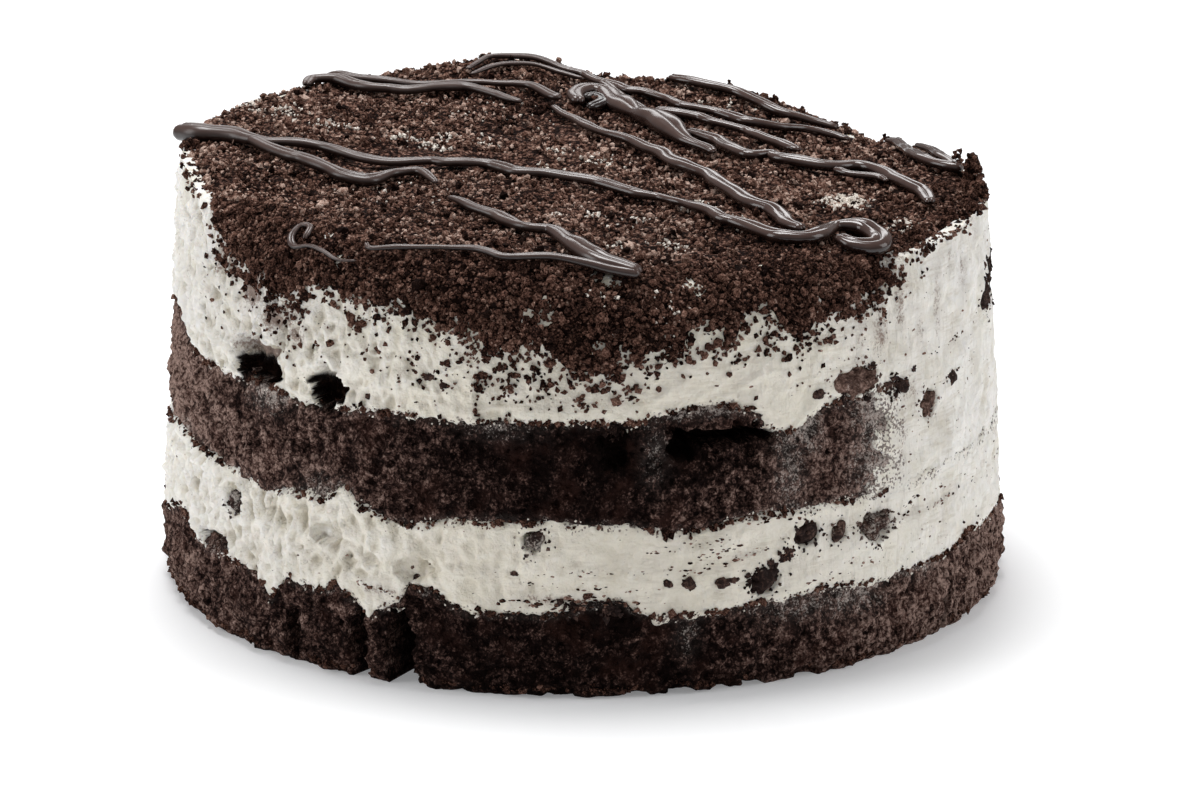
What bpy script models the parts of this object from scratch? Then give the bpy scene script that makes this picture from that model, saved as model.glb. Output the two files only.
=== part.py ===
"""Cookies and cream ice cream cake.

Two chocolate sponges and two layers of ice cream, a crumb topping that drapes over the front
with chocolate drizzle fused to it, and large cookie pieces bedded in the ice cream.
Metres, +Z up. The origin is at the middle of the foot, and the front faces -Y.
Angles are in degrees round the cake from the front, and grow towards the right.
"""
import math

import bmesh
import bpy
from mathutils import Vector, noise
from mathutils.bvhtree import BVHTree

MM = 0.001
MERGE_DISTANCE = 0.001 * MM

# Outline of the whole cake
WALL_RADIUS = 92.0 * MM         # at the widest height
WIDEST_HEIGHT = 10.0 * MM
WALL_LEAN = 0.060               # the wall comes in by this share of the height above that
FOOT_TUCK = 0.080               # and by this share of the depth below it
OUT_OF_ROUND = 0.6 * MM
OUT_OF_ROUND_LENGTH = 50.0      # length of its waves in degrees

# Seams between the layers: height of each at the middle of the cake
SEAM_LOW = 17.3 * MM
SEAM_MID = 36.6 * MM
SEAM_HIGH = 57.3 * MM
SEAM_RING = 78.0 * MM           # a seam waves only outside this radius
SEAM_RIPPLE = 0.9 * MM          # small waves along a seam
SEAM_RIPPLE_LENGTH = 9.0        # and their length in degrees
GAP = 0.3 * MM                  # between solids that touch
HALF_GAP = GAP / 2

# Top of the cake
TOP_MIDDLE = 91.0 * MM
TILT_RIGHT = -0.045
TILT_BACK = 0.034
TOP_WAVE = 1.1 * MM
TOP_WAVE_SIZE = 26.0 * MM
SUNK_CORNER = (64.0 * MM, 52.0 * MM)    # the top sinks at the back right
SUNK_DEPTH = 5.5 * MM
SUNK_SIZE = 30.0 * MM

# Crumb topping
CRUMB_DEPTH = 3.0 * MM
CRUMB_LIP = 1.5 * MM            # thickness at the draped edge
CRUMB_PROUD = 0.7 * MM          # how far the drape stands out from the ice cream
BED_CLEARANCE = 0.8 * MM        # drizzle and clumps keep this far from the ice cream
CRUMB_BUMP = 1.3 * MM
CRUMB_BUMP_SIZE = 5.5 * MM
SHOULDER_FRONT = 12.0 * MM      # how far in the rounded shoulder runs at the front
SHOULDER_BACK = 4.0 * MM

# Ice cream coat that hides the upper sponge on the right
COAT_START = 42.0
COAT_END = 132.0
COAT_FADE = 9.0
COAT_THICKNESS = 2.0 * MM
COAT_LEAN = 1.2 * MM            # the sponge leans back by this behind the coat
BEHIND_COAT = 1.0 * MM          # and stands back by this more, for its roughness
COAT_MARGIN = 8.0               # the sponge starts to stand back this many degrees before the coat
COAT_MARGIN_FADE = 5.0

# Relief of each wall: depth, size of its lumps, seed
SPONGE_BOTTOM_RELIEF = (1.7 * MM, 6.0 * MM, 1.0)
ICE_CREAM_LOWER_RELIEF = (0.6 * MM, 9.0 * MM, 2.0)
SPONGE_UPPER_RELIEF = (1.3 * MM, 6.0 * MM, 3.0)
ICE_CREAM_UPPER_RELIEF = (0.6 * MM, 10.0 * MM, 4.0)

# Mesh columns round the cake, closer together at the front
COLUMNS = 84
FRONT_CROWDING = 0.30
# Rings of the crumb topping: radius in mm, and every how many columns each keeps
TOP_RINGS = ((12, 12), (22, 6), (32, 4), (41, 3), (50, 2), (59, 2), (68, 1))

# Local rises and dips of each seam at the wall: angle, width in degrees, rise in mm
LOW_WAVES = (
    (-72, 5, 4.5), (-45, 3.2, -4.5), (-28, 2.8, -3.5), (-20, 4.5, 4), (2, 4, 3), (16, 6, -2),
    (34, 6, 1.5), (68, 6, 2), (108, 5, -3.5), (133, 6, 3), (163, 5, -4), (-150, 6, 3.5), (-112, 5, -3),
)
MID_WAVES = (
    (-72, 18, 3), (-31, 3, 4), (-24, 6, -2), (-4, 8, 0.8), (14, 6, -1.5), (96, 8, 2),
    (148, 6, -3), (-165, 5, 3), (-128, 7, -2.5),
)
HIGH_WAVES = (
    (-80, 9, 7), (-40, 3, -1.5), (16, 7, 3), (28, 4, -5), (140, 6, -4), (172, 7, 3.5), (-142, 5, -4),
    (-112, 8, 3),
)
# Local dips of the crumb edge: angle, width in degrees, drop in mm
EDGE_WAVES = (
    (3, 12, 10.5), (-47, 5, 3.5), (-64, 4, 1.5), (24, 4, -1), (118, 9, 4), (160, 12, 7),
    (-158, 8, 6), (-118, 10, 5),
)
EDGE_DROP = 2.0 * MM
EDGE_RIPPLE = 1.2 * MM
EDGE_RIPPLE_LENGTH = 7.0
FRONT_DRAPE = 11.0 * MM
FRONT_DRAPE_SPAN = (-63.0, 52.0)
DRAPE_FADE = 9.0

# Cookie pieces in the ice cream: name, angle, height, width, tall, deep in mm
COOKIES = (
    ("cookie_front_low", 24.0, 22.6, 8.4, 6.2, 6.0),
    ("cookie_front_mid", 30.6, 31.0, 7.2, 6.4, 6.0),
    ("cookie_front_small", 35.9, 29.9, 4.6, 4.6, 4.5),
    ("cookie_right_mid", 42.2, 29.4, 10.0, 7.0, 6.5),
    ("cookie_middle", -6.1, 33.2, 5.8, 5.2, 5.0),
    ("cookie_left", -53.8, 30.0, 5.6, 5.2, 5.0),
    ("cookie_right_seam", 39.8, 60.6, 13.5, 7.6, 7.0),
    ("cookie_right_coat", 54.0, 51.6, 6.6, 6.4, 5.5),
    ("cookie_right_high", 77.5, 66.8, 8.5, 7.0, 6.0),
    ("cookie_back_right", 112.0, 28.0, 9.0, 7.0, 6.5),
    ("cookie_back_high", 151.0, 68.0, 8.0, 6.0, 6.0),
    ("cookie_back_low", -167.0, 27.5, 8.0, 7.0, 6.0),
    ("cookie_back_left", -122.0, 68.5, 9.0, 7.0, 6.5),
    ("cookie_left_low", -98.0, 27.5, 7.0, 6.0, 5.5),
)
LARGE_COOKIE = 8.2
COOKIE_PROUD = 0.22             # share of the depth that stands out of the wall
COOKIE_ROUGHNESS = 0.55
POCKET_CLEARANCE = 0.39 * MM    # between a cookie piece and its pocket

# Hollows in each layer's wall: angle, height, width, tall, deep in mm
HOLLOW_ROUGHNESS = 0.6
HOLLOWS = {
    "sponge_bottom": (
        (-42.1, 6.5, 2.6, 12.0, 5.0), (-29.3, 4.6, 3.4, 11.0, 7.0), (-24.4, 6.0, 4.4, 18.0, 9.0),
        (-71.0, 5.0, 2.2, 10.0, 4.0), (58.0, 6.0, 2.4, 13.0, 4.5), (97.0, 5.0, 3.6, 13.0, 6.0),
        (148.0, 6.0, 3.0, 15.0, 6.0), (-168.0, 5.0, 4.0, 12.0, 7.0), (-122.0, 6.0, 2.8, 14.0, 5.0),
    ),
    "ice_cream_lower": (
        (-59.0, 19.6, 12.0, 4.4, 6.0), (-35.2, 29.8, 8.0, 4.4, 3.2), (-22.2, 25.4, 8.6, 5.0, 2.6),
        (143.0, 23.0, 9.0, 5.0, 4.0), (-146.0, 30.0, 8.0, 4.5, 3.5),
    ),
    "sponge_upper": (
        (18.8, 52.4, 21.0, 5.0, 7.0), (4.1, 53.0, 7.6, 11.0, 6.0), (-100.0, 48.0, 9.0, 5.0, 4.5),
        (157.0, 47.0, 14.0, 4.5, 5.0), (-170.0, 51.0, 7.0, 6.0, 5.0),
    ),
    "ice_cream_upper": (
        (-50.2, 60.5, 13.5, 8.5, 9.0), (-35.2, 58.8, 9.0, 8.0, 8.0), (-152.0, 61.0, 12.0, 7.5, 7.0),
        (166.0, 62.5, 9.0, 6.0, 6.0),
    ),
}

# Drizzle: each line's route over the top in mm, then its width at the two ends and the middle in mm
DRIZZLES = (
    (((-85, 14), (-78, 9), (-64, 4), (-54, 1), (-45, -7), (-33, -5), (-22, -5), (-8, -10), (3, -19),
      (13, -27), (24, -35), (35, -48), (43, -57), (51, -45), (58, -40), (63, -48), (62, -57), (55, -53)),
     (4.2, 2.3, 2.8)),
    (((-73, 7), (-64, -8), (-55, -16), (-46, -24), (-37, -15), (-31, -24)), (2.4, 2.2, 1.2)),
    (((-28, -38), (-18, -47), (-12, -57), (-3, -60), (1, -72), (6, -77), (13, -81)), (1.4, 2.3, 2.8)),
    (((13, -81), (3, -82), (-6, -77), (-14, -78), (-28, -72), (-43, -69)), (2.6, 2.1, 1.4)),
    (((-58, -56), (-60, -61), (-56, -64), (-50, -68), (-45, -71)), (1.8, 1.7, 1.2)),
    (((-66, 54), (-61, 60), (-53, 64), (-47, 58), (-38, 56), (-30, 60), (-22, 59), (-14, 51)),
     (2.4, 2.3, 2.0)),
    (((-34, 63), (-21, 66), (-13, 65), (-7, 56), (-2, 56)), (1.4, 2.0, 2.2)),
    (((-7, 47), (1, 29), (8, 19), (17, 8), (27, -9), (35, -27), (41, -42), (47, -48)), (2.2, 2.1, 2.4)),
    (((1, 58), (8, 50), (15, 44), (20, 28), (25, 18), (30, 13)), (5.6, 4.8, 1.8)),
    (((17, 48), (26, 46), (34, 40), (41, 33), (47, 26)), (2.0, 2.2, 1.8)),
    (((22, 29), (30, 22), (37, 12), (44, 10), (55, 6), (65, 6), (70, -5), (75, -14)), (1.8, 3.0, 2.6)),
    (((4, 71), (11, 65), (20, 59), (30, 53), (41, 45), (52, 46), (61, 43)), (2.0, 2.2, 1.8)),
    (((21, 80), (29, 76), (38, 69), (47, 60), (58, 55)), (2.0, 2.2, 1.8)),
    (((-28, 79), (-21, 82), (-12, 82), (-4, 80), (4, 71)), (1.8, 2.2, 2.0)),
    (((69, 40), (73, 27), (77, 16), (83, 10)), (1.8, 2.6, 3.0)),
    (((75, 36), (79, 24), (83, 11)), (1.6, 2.2, 2.4)),
)
DRIZZLE_STEP = 7.5 * MM
DRIZZLE_END = 0.12              # share of a line over which the width of its end fades
DRIZZLE_LIFT = 0.25             # share of the radius by which the middle of a line stands clear
DRIZZLE_SIDES = 6
CURVE_BEVEL = 0.5 * MM          # with this, the radius of a curve's point is the line's width in mm
ROUTE_PARTS = 12                # straight parts between two points of a route

# Clumps fused to the topping: x, y on the top and width in mm
CLUMPS = (
    (82, 15, 7.5), (80, 5, 6.0), (85, 7, 5.0), (-83, 13, 6.0), (2, 57, 8.0), (9, 48, 7.0), (16, 41, 5.0),
    (63, -53, 5.0), (58, -61, 4.5), (-61, -59, 4.5), (12, -80, 4.5),
)
LOOSE_CLUMPS = 14               # more clumps, spread over the top by a rule
LOOSE_CLUMP_SIZE = (2.6, 4.6)   # their widths in mm
LOOSE_CLUMP_REACH = 84.0        # radius in mm that they fill
GOLDEN_ANGLE = 137.5
CLUMP_ROUGHNESS = 0.7
CLUMP_DEPTH = 0.8               # share of its width

COLOURS = {
    "sponge": ((0.026, 0.014, 0.011, 1.0), 0.90),
    "ice_cream": ((0.80, 0.76, 0.69, 1.0), 0.45),
    "crumb": ((0.022, 0.012, 0.009, 1.0), 0.85),
    "cookie": ((0.018, 0.011, 0.009, 1.0), 0.80),
}


def angle_apart(angle, other):
    """The difference of two angles, from -180 to 180 degrees."""
    return (angle - other + 180.0) % 360.0 - 180.0


def bell(offset, width):
    return math.exp(-(offset / width) ** 2)


def smooth_step(value):
    value = min(max(value, 0.0), 1.0)
    return value * value * (3.0 - 2.0 * value)


def ripple(angle, size, seed):
    """Smooth noise that closes on itself round the cake; size is the length of a wave in degrees."""
    turn = math.radians(angle)
    reach = 57.3 / size
    return noise.noise(Vector((math.cos(turn) * reach + seed, math.sin(turn) * reach, seed * 1.7)))


def around(angle, radius, height):
    turn = math.radians(angle)
    return Vector((radius * math.sin(turn), -radius * math.cos(turn), height))


def wall_radius(angle, height):
    """The cake's own radius at an angle and a height."""
    above = max(height - WIDEST_HEIGHT, 0.0)
    below = max(WIDEST_HEIGHT - height, 0.0)
    uneven = OUT_OF_ROUND * ripple(angle, OUT_OF_ROUND_LENGTH, 3.0)
    return WALL_RADIUS - WALL_LEAN * above - FOOT_TUCK * below + uneven


def seam(angle, mean, waves, seed):
    """Height of a seam at the wall."""
    height = mean + SEAM_RIPPLE * ripple(angle, SEAM_RIPPLE_LENGTH, seed)
    for centre, width, rise in waves:
        height += rise * MM * bell(angle_apart(angle, centre), width)
    return height


def seam_low(angle):
    return seam(angle, SEAM_LOW, LOW_WAVES, 11.0)


def seam_mid(angle):
    return seam(angle, SEAM_MID, MID_WAVES, 12.0)


def seam_high(angle):
    return seam(angle, SEAM_HIGH, HIGH_WAVES, 13.0)


def top_height(x, y):
    """Height of the crumb topping's smooth surface."""
    away = math.hypot(x - SUNK_CORNER[0], y - SUNK_CORNER[1])
    wave = noise.noise(Vector((x / TOP_WAVE_SIZE, y / TOP_WAVE_SIZE, 4.0)))
    return TOP_MIDDLE + TILT_RIGHT * x + TILT_BACK * y - SUNK_DEPTH * bell(away, SUNK_SIZE) + TOP_WAVE * wave


def front_share(angle):
    """1 along the front, where the crumbs drape, and 0 round the sides and back."""
    first, last = FRONT_DRAPE_SPAN
    offset = angle_apart(angle, 0.0)
    return smooth_step((offset - first) / DRAPE_FADE + 0.5) * smooth_step((last - offset) / DRAPE_FADE + 0.5)


def shoulder(angle):
    """Where the topping turns down: radius and height of its top end, and its run inwards."""
    run = SHOULDER_BACK + (SHOULDER_FRONT - SHOULDER_BACK) * front_share(angle)
    radius = wall_radius(angle, TOP_MIDDLE) + CRUMB_PROUD - run
    point = around(angle, radius, 0.0)
    return radius, top_height(point.x, point.y), run


def crumb_edge(angle):
    """Height of the topping's draped edge."""
    height = shoulder(angle)[1] - EDGE_DROP - FRONT_DRAPE * front_share(angle)
    height += EDGE_RIPPLE * ripple(angle, EDGE_RIPPLE_LENGTH, 21.0)
    for centre, width, drop in EDGE_WAVES:
        height -= drop * MM * bell(angle_apart(angle, centre), width)
    return min(height, shoulder(angle)[1] - EDGE_DROP)


def drape_point(angle, share, depth):
    """A point of the drape at a depth under its skin; share runs from 0 at the edge to 1 on top."""
    radius, height, run = shoulder(angle)
    edge = crumb_edge(angle)
    drop = height - edge
    turn = share * math.pi / 2
    out = math.cos(turn) / run
    up = math.sin(turn) / drop
    length = math.hypot(out, up)
    foot_radius = wall_radius(angle, edge) + CRUMB_PROUD
    r = radius + (foot_radius - radius) * math.cos(turn) - depth * out / length
    return r, edge + drop * math.sin(turn) - depth * up / length


def coat_share(angle):
    """1 where the coat reaches the foot of the upper sponge, and 0 where there is none."""
    start = smooth_step((angle_apart(angle, COAT_START)) / COAT_FADE)
    end = smooth_step((angle_apart(COAT_END, angle)) / COAT_FADE)
    return start * end


def set_back(angle):
    """How far the upper sponge stands back to leave room for the coat."""
    start = smooth_step((angle_apart(angle, COAT_START) + COAT_MARGIN) / COAT_MARGIN_FADE)
    end = smooth_step((angle_apart(COAT_END, angle) + COAT_MARGIN) / COAT_MARGIN_FADE)
    return (COAT_THICKNESS + GAP) * start * end


def coat_foot(angle):
    """Height of the upper ice cream's lower edge, coat and all."""
    high = seam_high(angle) + HALF_GAP
    low = seam_mid(angle) + HALF_GAP
    return high + (low - high) * coat_share(angle)


def crag(angle, height, depth, size, seed):
    """Rough relief of a wall."""
    spot = around(angle, WALL_RADIUS, height) / size
    spot.z += seed
    coarse = noise.noise(spot)
    fine = noise.noise(spot * 2.3)
    return depth * (coarse + 0.5 * fine)


def middle(height):
    return lambda angle: (0.0, height)


def beside(line, offset):
    """The line moved up by the offset."""
    return lambda angle: line(angle) + offset


def seam_ring(line, offset):
    return lambda angle: (SEAM_RING, line(angle) + offset)


def wall_rows(upper, lower, rows, relief, back=None):
    """Rows of points down a wall from the height upper(angle) to lower(angle)."""
    depth, size, seed = relief

    def row(share):
        def place(angle):
            height = upper(angle) + (lower(angle) - upper(angle)) * share
            radius = wall_radius(angle, height) + crag(angle, height, depth, size, seed)
            return radius - (back(angle, share) if back else 0.0), height
        return place

    return [row(i / rows) for i in range(rows + 1)]


def column_angle(turn):
    """The angle in degrees of a mesh column that the Screw puts at turn radians."""
    return math.degrees(turn - FRONT_CROWDING * math.sin(turn))


def turned(name, rows, colour, collection, thinned=None):
    """A closed body turned from a profile, whose rows are then moved to their own angle and height.

    A thinned row keeps only every so many columns, and the others close up onto those.
    """
    thinned = thinned or {}
    profile = [row(0.0) for row in rows]
    outline = bpy.data.meshes.new(name + "_profile")
    edges = [(i, i + 1) for i in range(len(profile) - 1)]
    outline.from_pydata([(radius, 0.0, height) for radius, height in profile], edges, [])
    blank = bpy.data.objects.new(name + "_profile", outline)
    collection.objects.link(blank)
    screw = blank.modifiers.new("turn", "SCREW")
    screw.axis = "Z"
    screw.steps = COLUMNS
    screw.render_steps = COLUMNS
    screw.use_merge_vertices = True
    screw.merge_threshold = MERGE_DISTANCE
    mesh = applied(blank)
    mesh.name = name
    bpy.data.objects.remove(blank)

    bm = bmesh.new()
    bm.from_mesh(mesh)
    bmesh.ops.remove_doubles(bm, verts=bm.verts, dist=MERGE_DISTANCE)
    places = {}
    for vert in bm.verts:
        radius, height = math.hypot(vert.co.x, vert.co.y), vert.co.z
        row = min(range(len(profile)), key=lambda i: math.dist(profile[i], (radius, height)))
        turn = math.atan2(vert.co.y, vert.co.x)
        column = round(turn / math.tau * COLUMNS) % COLUMNS
        places[vert] = (row, column)
    split_quads(bm, places, profile)
    for vert, (row, column) in places.items():
        column -= column % thinned.get(row, 1)
        angle = column_angle(column / COLUMNS * math.tau)
        vert.co = around(angle, *rows[row](angle))
    bmesh.ops.remove_doubles(bm, verts=bm.verts, dist=MERGE_DISTANCE)
    bm.to_mesh(mesh)
    bm.free()
    return finished(name, mesh, colour, collection)


def split_quads(bm, places, profile):
    """Cuts each four-sided face from the outer low corner of one column to the inner one of the next.

    Two bodies that meet at a seam are cut alike, so their faces stay parallel across the gap.
    """
    def reach(vert):
        radius, height = profile[places[vert][0]]
        return radius - height

    for face in [face for face in bm.faces if len(face.verts) == 4]:
        columns = sorted({places[vert][1] for vert in face.verts})
        first = columns[0] if columns[1] - columns[0] == 1 else columns[1]
        here = [vert for vert in face.verts if places[vert][1] == first]
        there = [vert for vert in face.verts if places[vert][1] != first]
        bmesh.utils.face_split(face, max(here, key=reach), min(there, key=reach))


def applied(obj):
    """A mesh of the object with its modifiers applied."""
    graph = bpy.context.evaluated_depsgraph_get()
    graph.update()
    return bpy.data.meshes.new_from_object(obj.evaluated_get(graph))


def material(kind):
    found = bpy.data.materials.get(kind)
    if found:
        return found
    colour, roughness = COLOURS[kind]
    made = bpy.data.materials.new(kind)
    made.use_nodes = True
    shader = made.node_tree.nodes["Principled BSDF"]
    shader.inputs["Base Color"].default_value = colour
    shader.inputs["Roughness"].default_value = roughness
    made.diffuse_color = colour
    return made


def finished(name, mesh, colour, collection):
    mesh.materials.clear()
    mesh.materials.append(material(colour))
    obj = bpy.data.objects.new(name, mesh)
    collection.objects.link(obj)
    return obj


def lump(name, width, tall, deep, seed, roughness, detail):
    """An uneven rounded piece; its own +Y is depth, into the cake."""
    bm = bmesh.new()
    bmesh.ops.create_icosphere(bm, subdivisions=detail, radius=0.5)
    for vert in bm.verts:
        shape = 1.0 + roughness * noise.noise(vert.co * 3.0 + Vector((seed * 5.1, seed * 2.3, seed)))
        vert.co = Vector((vert.co.x * width, vert.co.y * deep, vert.co.z * tall)) * shape
    mesh = bpy.data.meshes.new(name)
    bm.to_mesh(mesh)
    bm.free()
    return mesh


def grow(mesh, distance):
    """Pushes every vertex out along its normal."""
    moves = [vert.normal.copy() for vert in mesh.vertices]
    for vert, normal in zip(mesh.vertices, moves):
        vert.co += normal * distance


def on_wall(mesh, angle, height, inset):
    """Turns a piece to face out at an angle and moves it to the wall, its middle at the inset."""
    turn = math.radians(angle)
    centre = around(angle, wall_radius(angle, height) - inset, height)
    for vert in mesh.vertices:
        x, y, z = vert.co
        vert.co = centre + Vector((x * math.cos(turn) - y * math.sin(turn),
                                   x * math.sin(turn) + y * math.cos(turn), z))


def cutter(name, mesh, collection):
    obj = bpy.data.objects.new(name, mesh)
    collection.objects.link(obj)
    obj.hide_render = True
    obj.display_type = "WIRE"
    return obj


def join_or_cut(body, collection, operation):
    """Applies a Boolean with every object of the collection, and keeps the body's main shell."""
    boolean = body.modifiers.new("combined", "BOOLEAN")
    boolean.operation = operation
    boolean.operand_type = "COLLECTION"
    boolean.collection = collection
    boolean.solver = "EXACT"
    mesh = applied(body)
    body.modifiers.clear()
    body.data = mesh
    keep_largest_shell(mesh)


def make_sponge_bottom(cake):
    rows = [middle(SEAM_LOW - HALF_GAP), seam_ring(seam_low, -HALF_GAP)]
    rows += wall_rows(beside(seam_low, -HALF_GAP), lambda angle: 0.0, 4, SPONGE_BOTTOM_RELIEF)
    rows += [middle(0.0)]
    return turned("sponge_bottom", rows, "sponge", cake)


def make_ice_cream_lower(cake):
    rows = [middle(SEAM_MID - HALF_GAP), seam_ring(seam_mid, -HALF_GAP)]
    rows += wall_rows(beside(seam_mid, -HALF_GAP), beside(seam_low, HALF_GAP), 3, ICE_CREAM_LOWER_RELIEF)
    rows += [seam_ring(seam_low, HALF_GAP), middle(SEAM_LOW + HALF_GAP)]
    return turned("ice_cream_lower", rows, "ice_cream", cake)


def make_sponge_upper(cake):
    def back(angle, share):
        covered = set_back(angle) / (COAT_THICKNESS + GAP)
        return set_back(angle) + (COAT_LEAN * (1.0 - share) + BEHIND_COAT) * covered

    top = beside(seam_high, -HALF_GAP)
    foot = beside(seam_mid, HALF_GAP)
    rows = [middle(SEAM_HIGH - HALF_GAP), seam_ring(seam_high, -HALF_GAP)]
    rows += wall_rows(top, foot, 4, SPONGE_UPPER_RELIEF, back)
    rows += [seam_ring(seam_mid, HALF_GAP), middle(SEAM_MID + HALF_GAP)]
    return turned("sponge_upper", rows, "sponge", cake)


def make_ice_cream_upper(cake):
    under = GAP + CRUMB_DEPTH
    lip = GAP + CRUMB_LIP

    def bed(share):
        return lambda angle: drape_point(angle, share, lip + (under - lip) * share)

    def ledge(angle):
        radius, height = drape_point(angle, 0.0, lip)
        return radius, height - GAP

    def coat_inner_foot(angle):
        height = coat_foot(angle)
        return wall_radius(angle, height) - COAT_THICKNESS, height

    def coat_inner_top(angle):
        height = seam_high(angle) + HALF_GAP
        return wall_radius(angle, height) - COAT_THICKNESS - COAT_LEAN, height

    rows = [middle(top_height(0.0, 0.0) - under)]
    rows += [bed(share / 2) for share in (2, 1)] + [ledge]
    rows += wall_rows(beside(crumb_edge, -GAP), coat_foot, 4, ICE_CREAM_UPPER_RELIEF)
    rows += [coat_inner_foot, coat_inner_top, seam_ring(seam_high, HALF_GAP), middle(SEAM_HIGH + HALF_GAP)]
    return turned("ice_cream_upper", rows, "ice_cream", cake)


def make_crumb_topping(cake):
    def bumpy(angle, radius, height, strength=1.0):
        spot = around(angle, radius, height) / CRUMB_BUMP_SIZE
        return CRUMB_BUMP * strength * noise.noise(spot)

    def ring(radius):
        def place(angle):
            point = around(angle, radius, 0.0)
            height = top_height(point.x, point.y)
            return radius, height + bumpy(angle, radius, height)
        return place

    def skin(share):
        def place(angle):
            radius, height = drape_point(angle, share, 0.0)
            rise = bumpy(angle, radius, height, 0.6 if share else 0.3)
            return radius + rise * (1.0 - share), height + rise * share
        return place

    def underside(share):
        depth = CRUMB_LIP + (CRUMB_DEPTH - CRUMB_LIP) * share
        return lambda angle: drape_point(angle, share, depth)

    rows = [middle(top_height(0.0, 0.0))]
    rows += [ring(radius * MM) for radius, _ in TOP_RINGS]
    rows += [skin(share / 4) for share in (4, 3, 2, 1, 0)]
    rows += [underside(share / 2) for share in (0, 1, 2)]
    rows += [middle(top_height(0.0, 0.0) - CRUMB_DEPTH)]
    thinned = {index + 1: keep for index, (_, keep) in enumerate(TOP_RINGS)}
    return turned("crumb_topping", rows, "crumb", cake, thinned)


def smooth_route(points, step):
    """Evenly spaced points on a smooth curve through the given ones."""
    ends = [points[0] * 2 - points[1]] + points + [points[-1] * 2 - points[-2]]
    fine = []
    for i in range(len(points) - 1):
        before, start, end, after = ends[i:i + 4]
        for part in range(ROUTE_PARTS):
            t = part / ROUTE_PARTS
            fine.append(0.5 * (2 * start + (end - before) * t
                               + (2 * before - 5 * start + 4 * end - after) * t ** 2
                               + (3 * start - before - 3 * end + after) * t ** 3))
    fine.append(points[-1])
    lengths = [0.0]
    for here, there in zip(fine, fine[1:]):
        lengths.append(lengths[-1] + (there - here).length)
    count = max(2, round(lengths[-1] / step))
    route = []
    index = 0
    for i in range(count + 1):
        target = lengths[-1] * i / count
        while index < len(fine) - 2 and lengths[index + 1] < target:
            index += 1
        share = (target - lengths[index]) / (lengths[index + 1] - lengths[index])
        route.append(fine[index].lerp(fine[index + 1], share))
    return route


def surface_point(tree, x, y):
    """The topping's skin at a place on the plan, or its nearest point past the rim."""
    above = Vector((x, y, 2 * TOP_MIDDLE))
    hit = tree.ray_cast(above, Vector((0.0, 0.0, -1.0)))[0]
    return hit or tree.find_nearest(Vector((x, y, top_height(x, y))))[0]


def drizzle_line(name, plan, widths, tree):
    """A line of drizzle as a mesh tube that lies half sunk in the topping."""
    route = smooth_route([Vector((x * MM, y * MM, 0.0)) for x, y in plan], DRIZZLE_STEP)
    curve = bpy.data.curves.new(name, "CURVE")
    curve.dimensions = "3D"
    curve.bevel_depth = CURVE_BEVEL
    curve.bevel_resolution = (DRIZZLE_SIDES - 4) // 2
    curve.use_fill_caps = True
    spline = curve.splines.new("POLY")
    spline.points.add(len(route) - 1)
    first, middle_width, last = widths
    for i, (point, spot) in enumerate(zip(spline.points, route)):
        share = i / (len(route) - 1)
        width = middle_width + (first - middle_width) * bell(share, DRIZZLE_END)
        width += (last - middle_width) * bell(1.0 - share, DRIZZLE_END)
        top = surface_point(tree, spot.x, spot.y)
        point.co = (spot.x, spot.y, top.z + DRIZZLE_LIFT * width * 0.5 * MM, 1.0)
        point.radius = width
    obj = bpy.data.objects.new(name, curve)
    bpy.context.scene.collection.objects.link(obj)
    mesh = applied(obj)
    bpy.data.objects.remove(obj)
    bm = bmesh.new()
    bm.from_mesh(mesh)
    bmesh.ops.remove_doubles(bm, verts=bm.verts, dist=MERGE_DISTANCE)
    bm.to_mesh(mesh)
    bm.free()
    return mesh


def loose_clump_spots():
    """Places over the whole top, on a sunflower spiral."""
    spots = []
    for i in range(LOOSE_CLUMPS):
        radius = LOOSE_CLUMP_REACH * math.sqrt((i + 0.5) / LOOSE_CLUMPS)
        turn = i * math.radians(GOLDEN_ANGLE)
        share = 0.5 + 0.5 * noise.noise(Vector((i * 3.7, 0.0, 8.0)))
        smallest, largest = LOOSE_CLUMP_SIZE
        width = smallest + (largest - smallest) * share
        spots.append((radius * math.sin(turn), radius * math.cos(turn), width))
    return spots


def lift_clear(mesh, bed):
    """Moves what reaches too near the ice cream back out into the topping."""
    for vert in mesh.vertices:
        place, normal, _, _ = bed.find_nearest(vert.co)
        if (vert.co - place).dot(normal) < BED_CLEARANCE:
            vert.co = place + normal * BED_CLEARANCE


def fuse_onto_topping(topping, ice_cream):
    """Joins the drizzle and the clumps to the topping with one union."""
    graph = bpy.context.evaluated_depsgraph_get()
    tree = BVHTree.FromObject(topping, graph)
    bed = BVHTree.FromObject(ice_cream, graph)
    extras = bpy.data.collections.new("fused_to_topping")
    bpy.context.scene.collection.children.link(extras)
    for index, (plan, widths) in enumerate(DRIZZLES):
        name = "drizzle_%d" % index
        extras.objects.link(bpy.data.objects.new(name, drizzle_line(name, plan, widths, tree)))
    for index, (x, y, width) in enumerate(CLUMPS + tuple(loose_clump_spots())):
        name = "clump_%d" % index
        mesh = lump(name, width * MM, width * CLUMP_DEPTH * MM, width * MM, index, CLUMP_ROUGHNESS, 1)
        spot = surface_point(tree, x * MM, y * MM)
        for vert in mesh.vertices:
            vert.co += spot
        extras.objects.link(bpy.data.objects.new(name, mesh))
    for obj in extras.objects:
        lift_clear(obj.data, bed)
    join_or_cut(topping, extras, "UNION")
    for obj in list(extras.objects):
        bpy.data.objects.remove(obj)
    bpy.data.collections.remove(extras)


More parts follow.
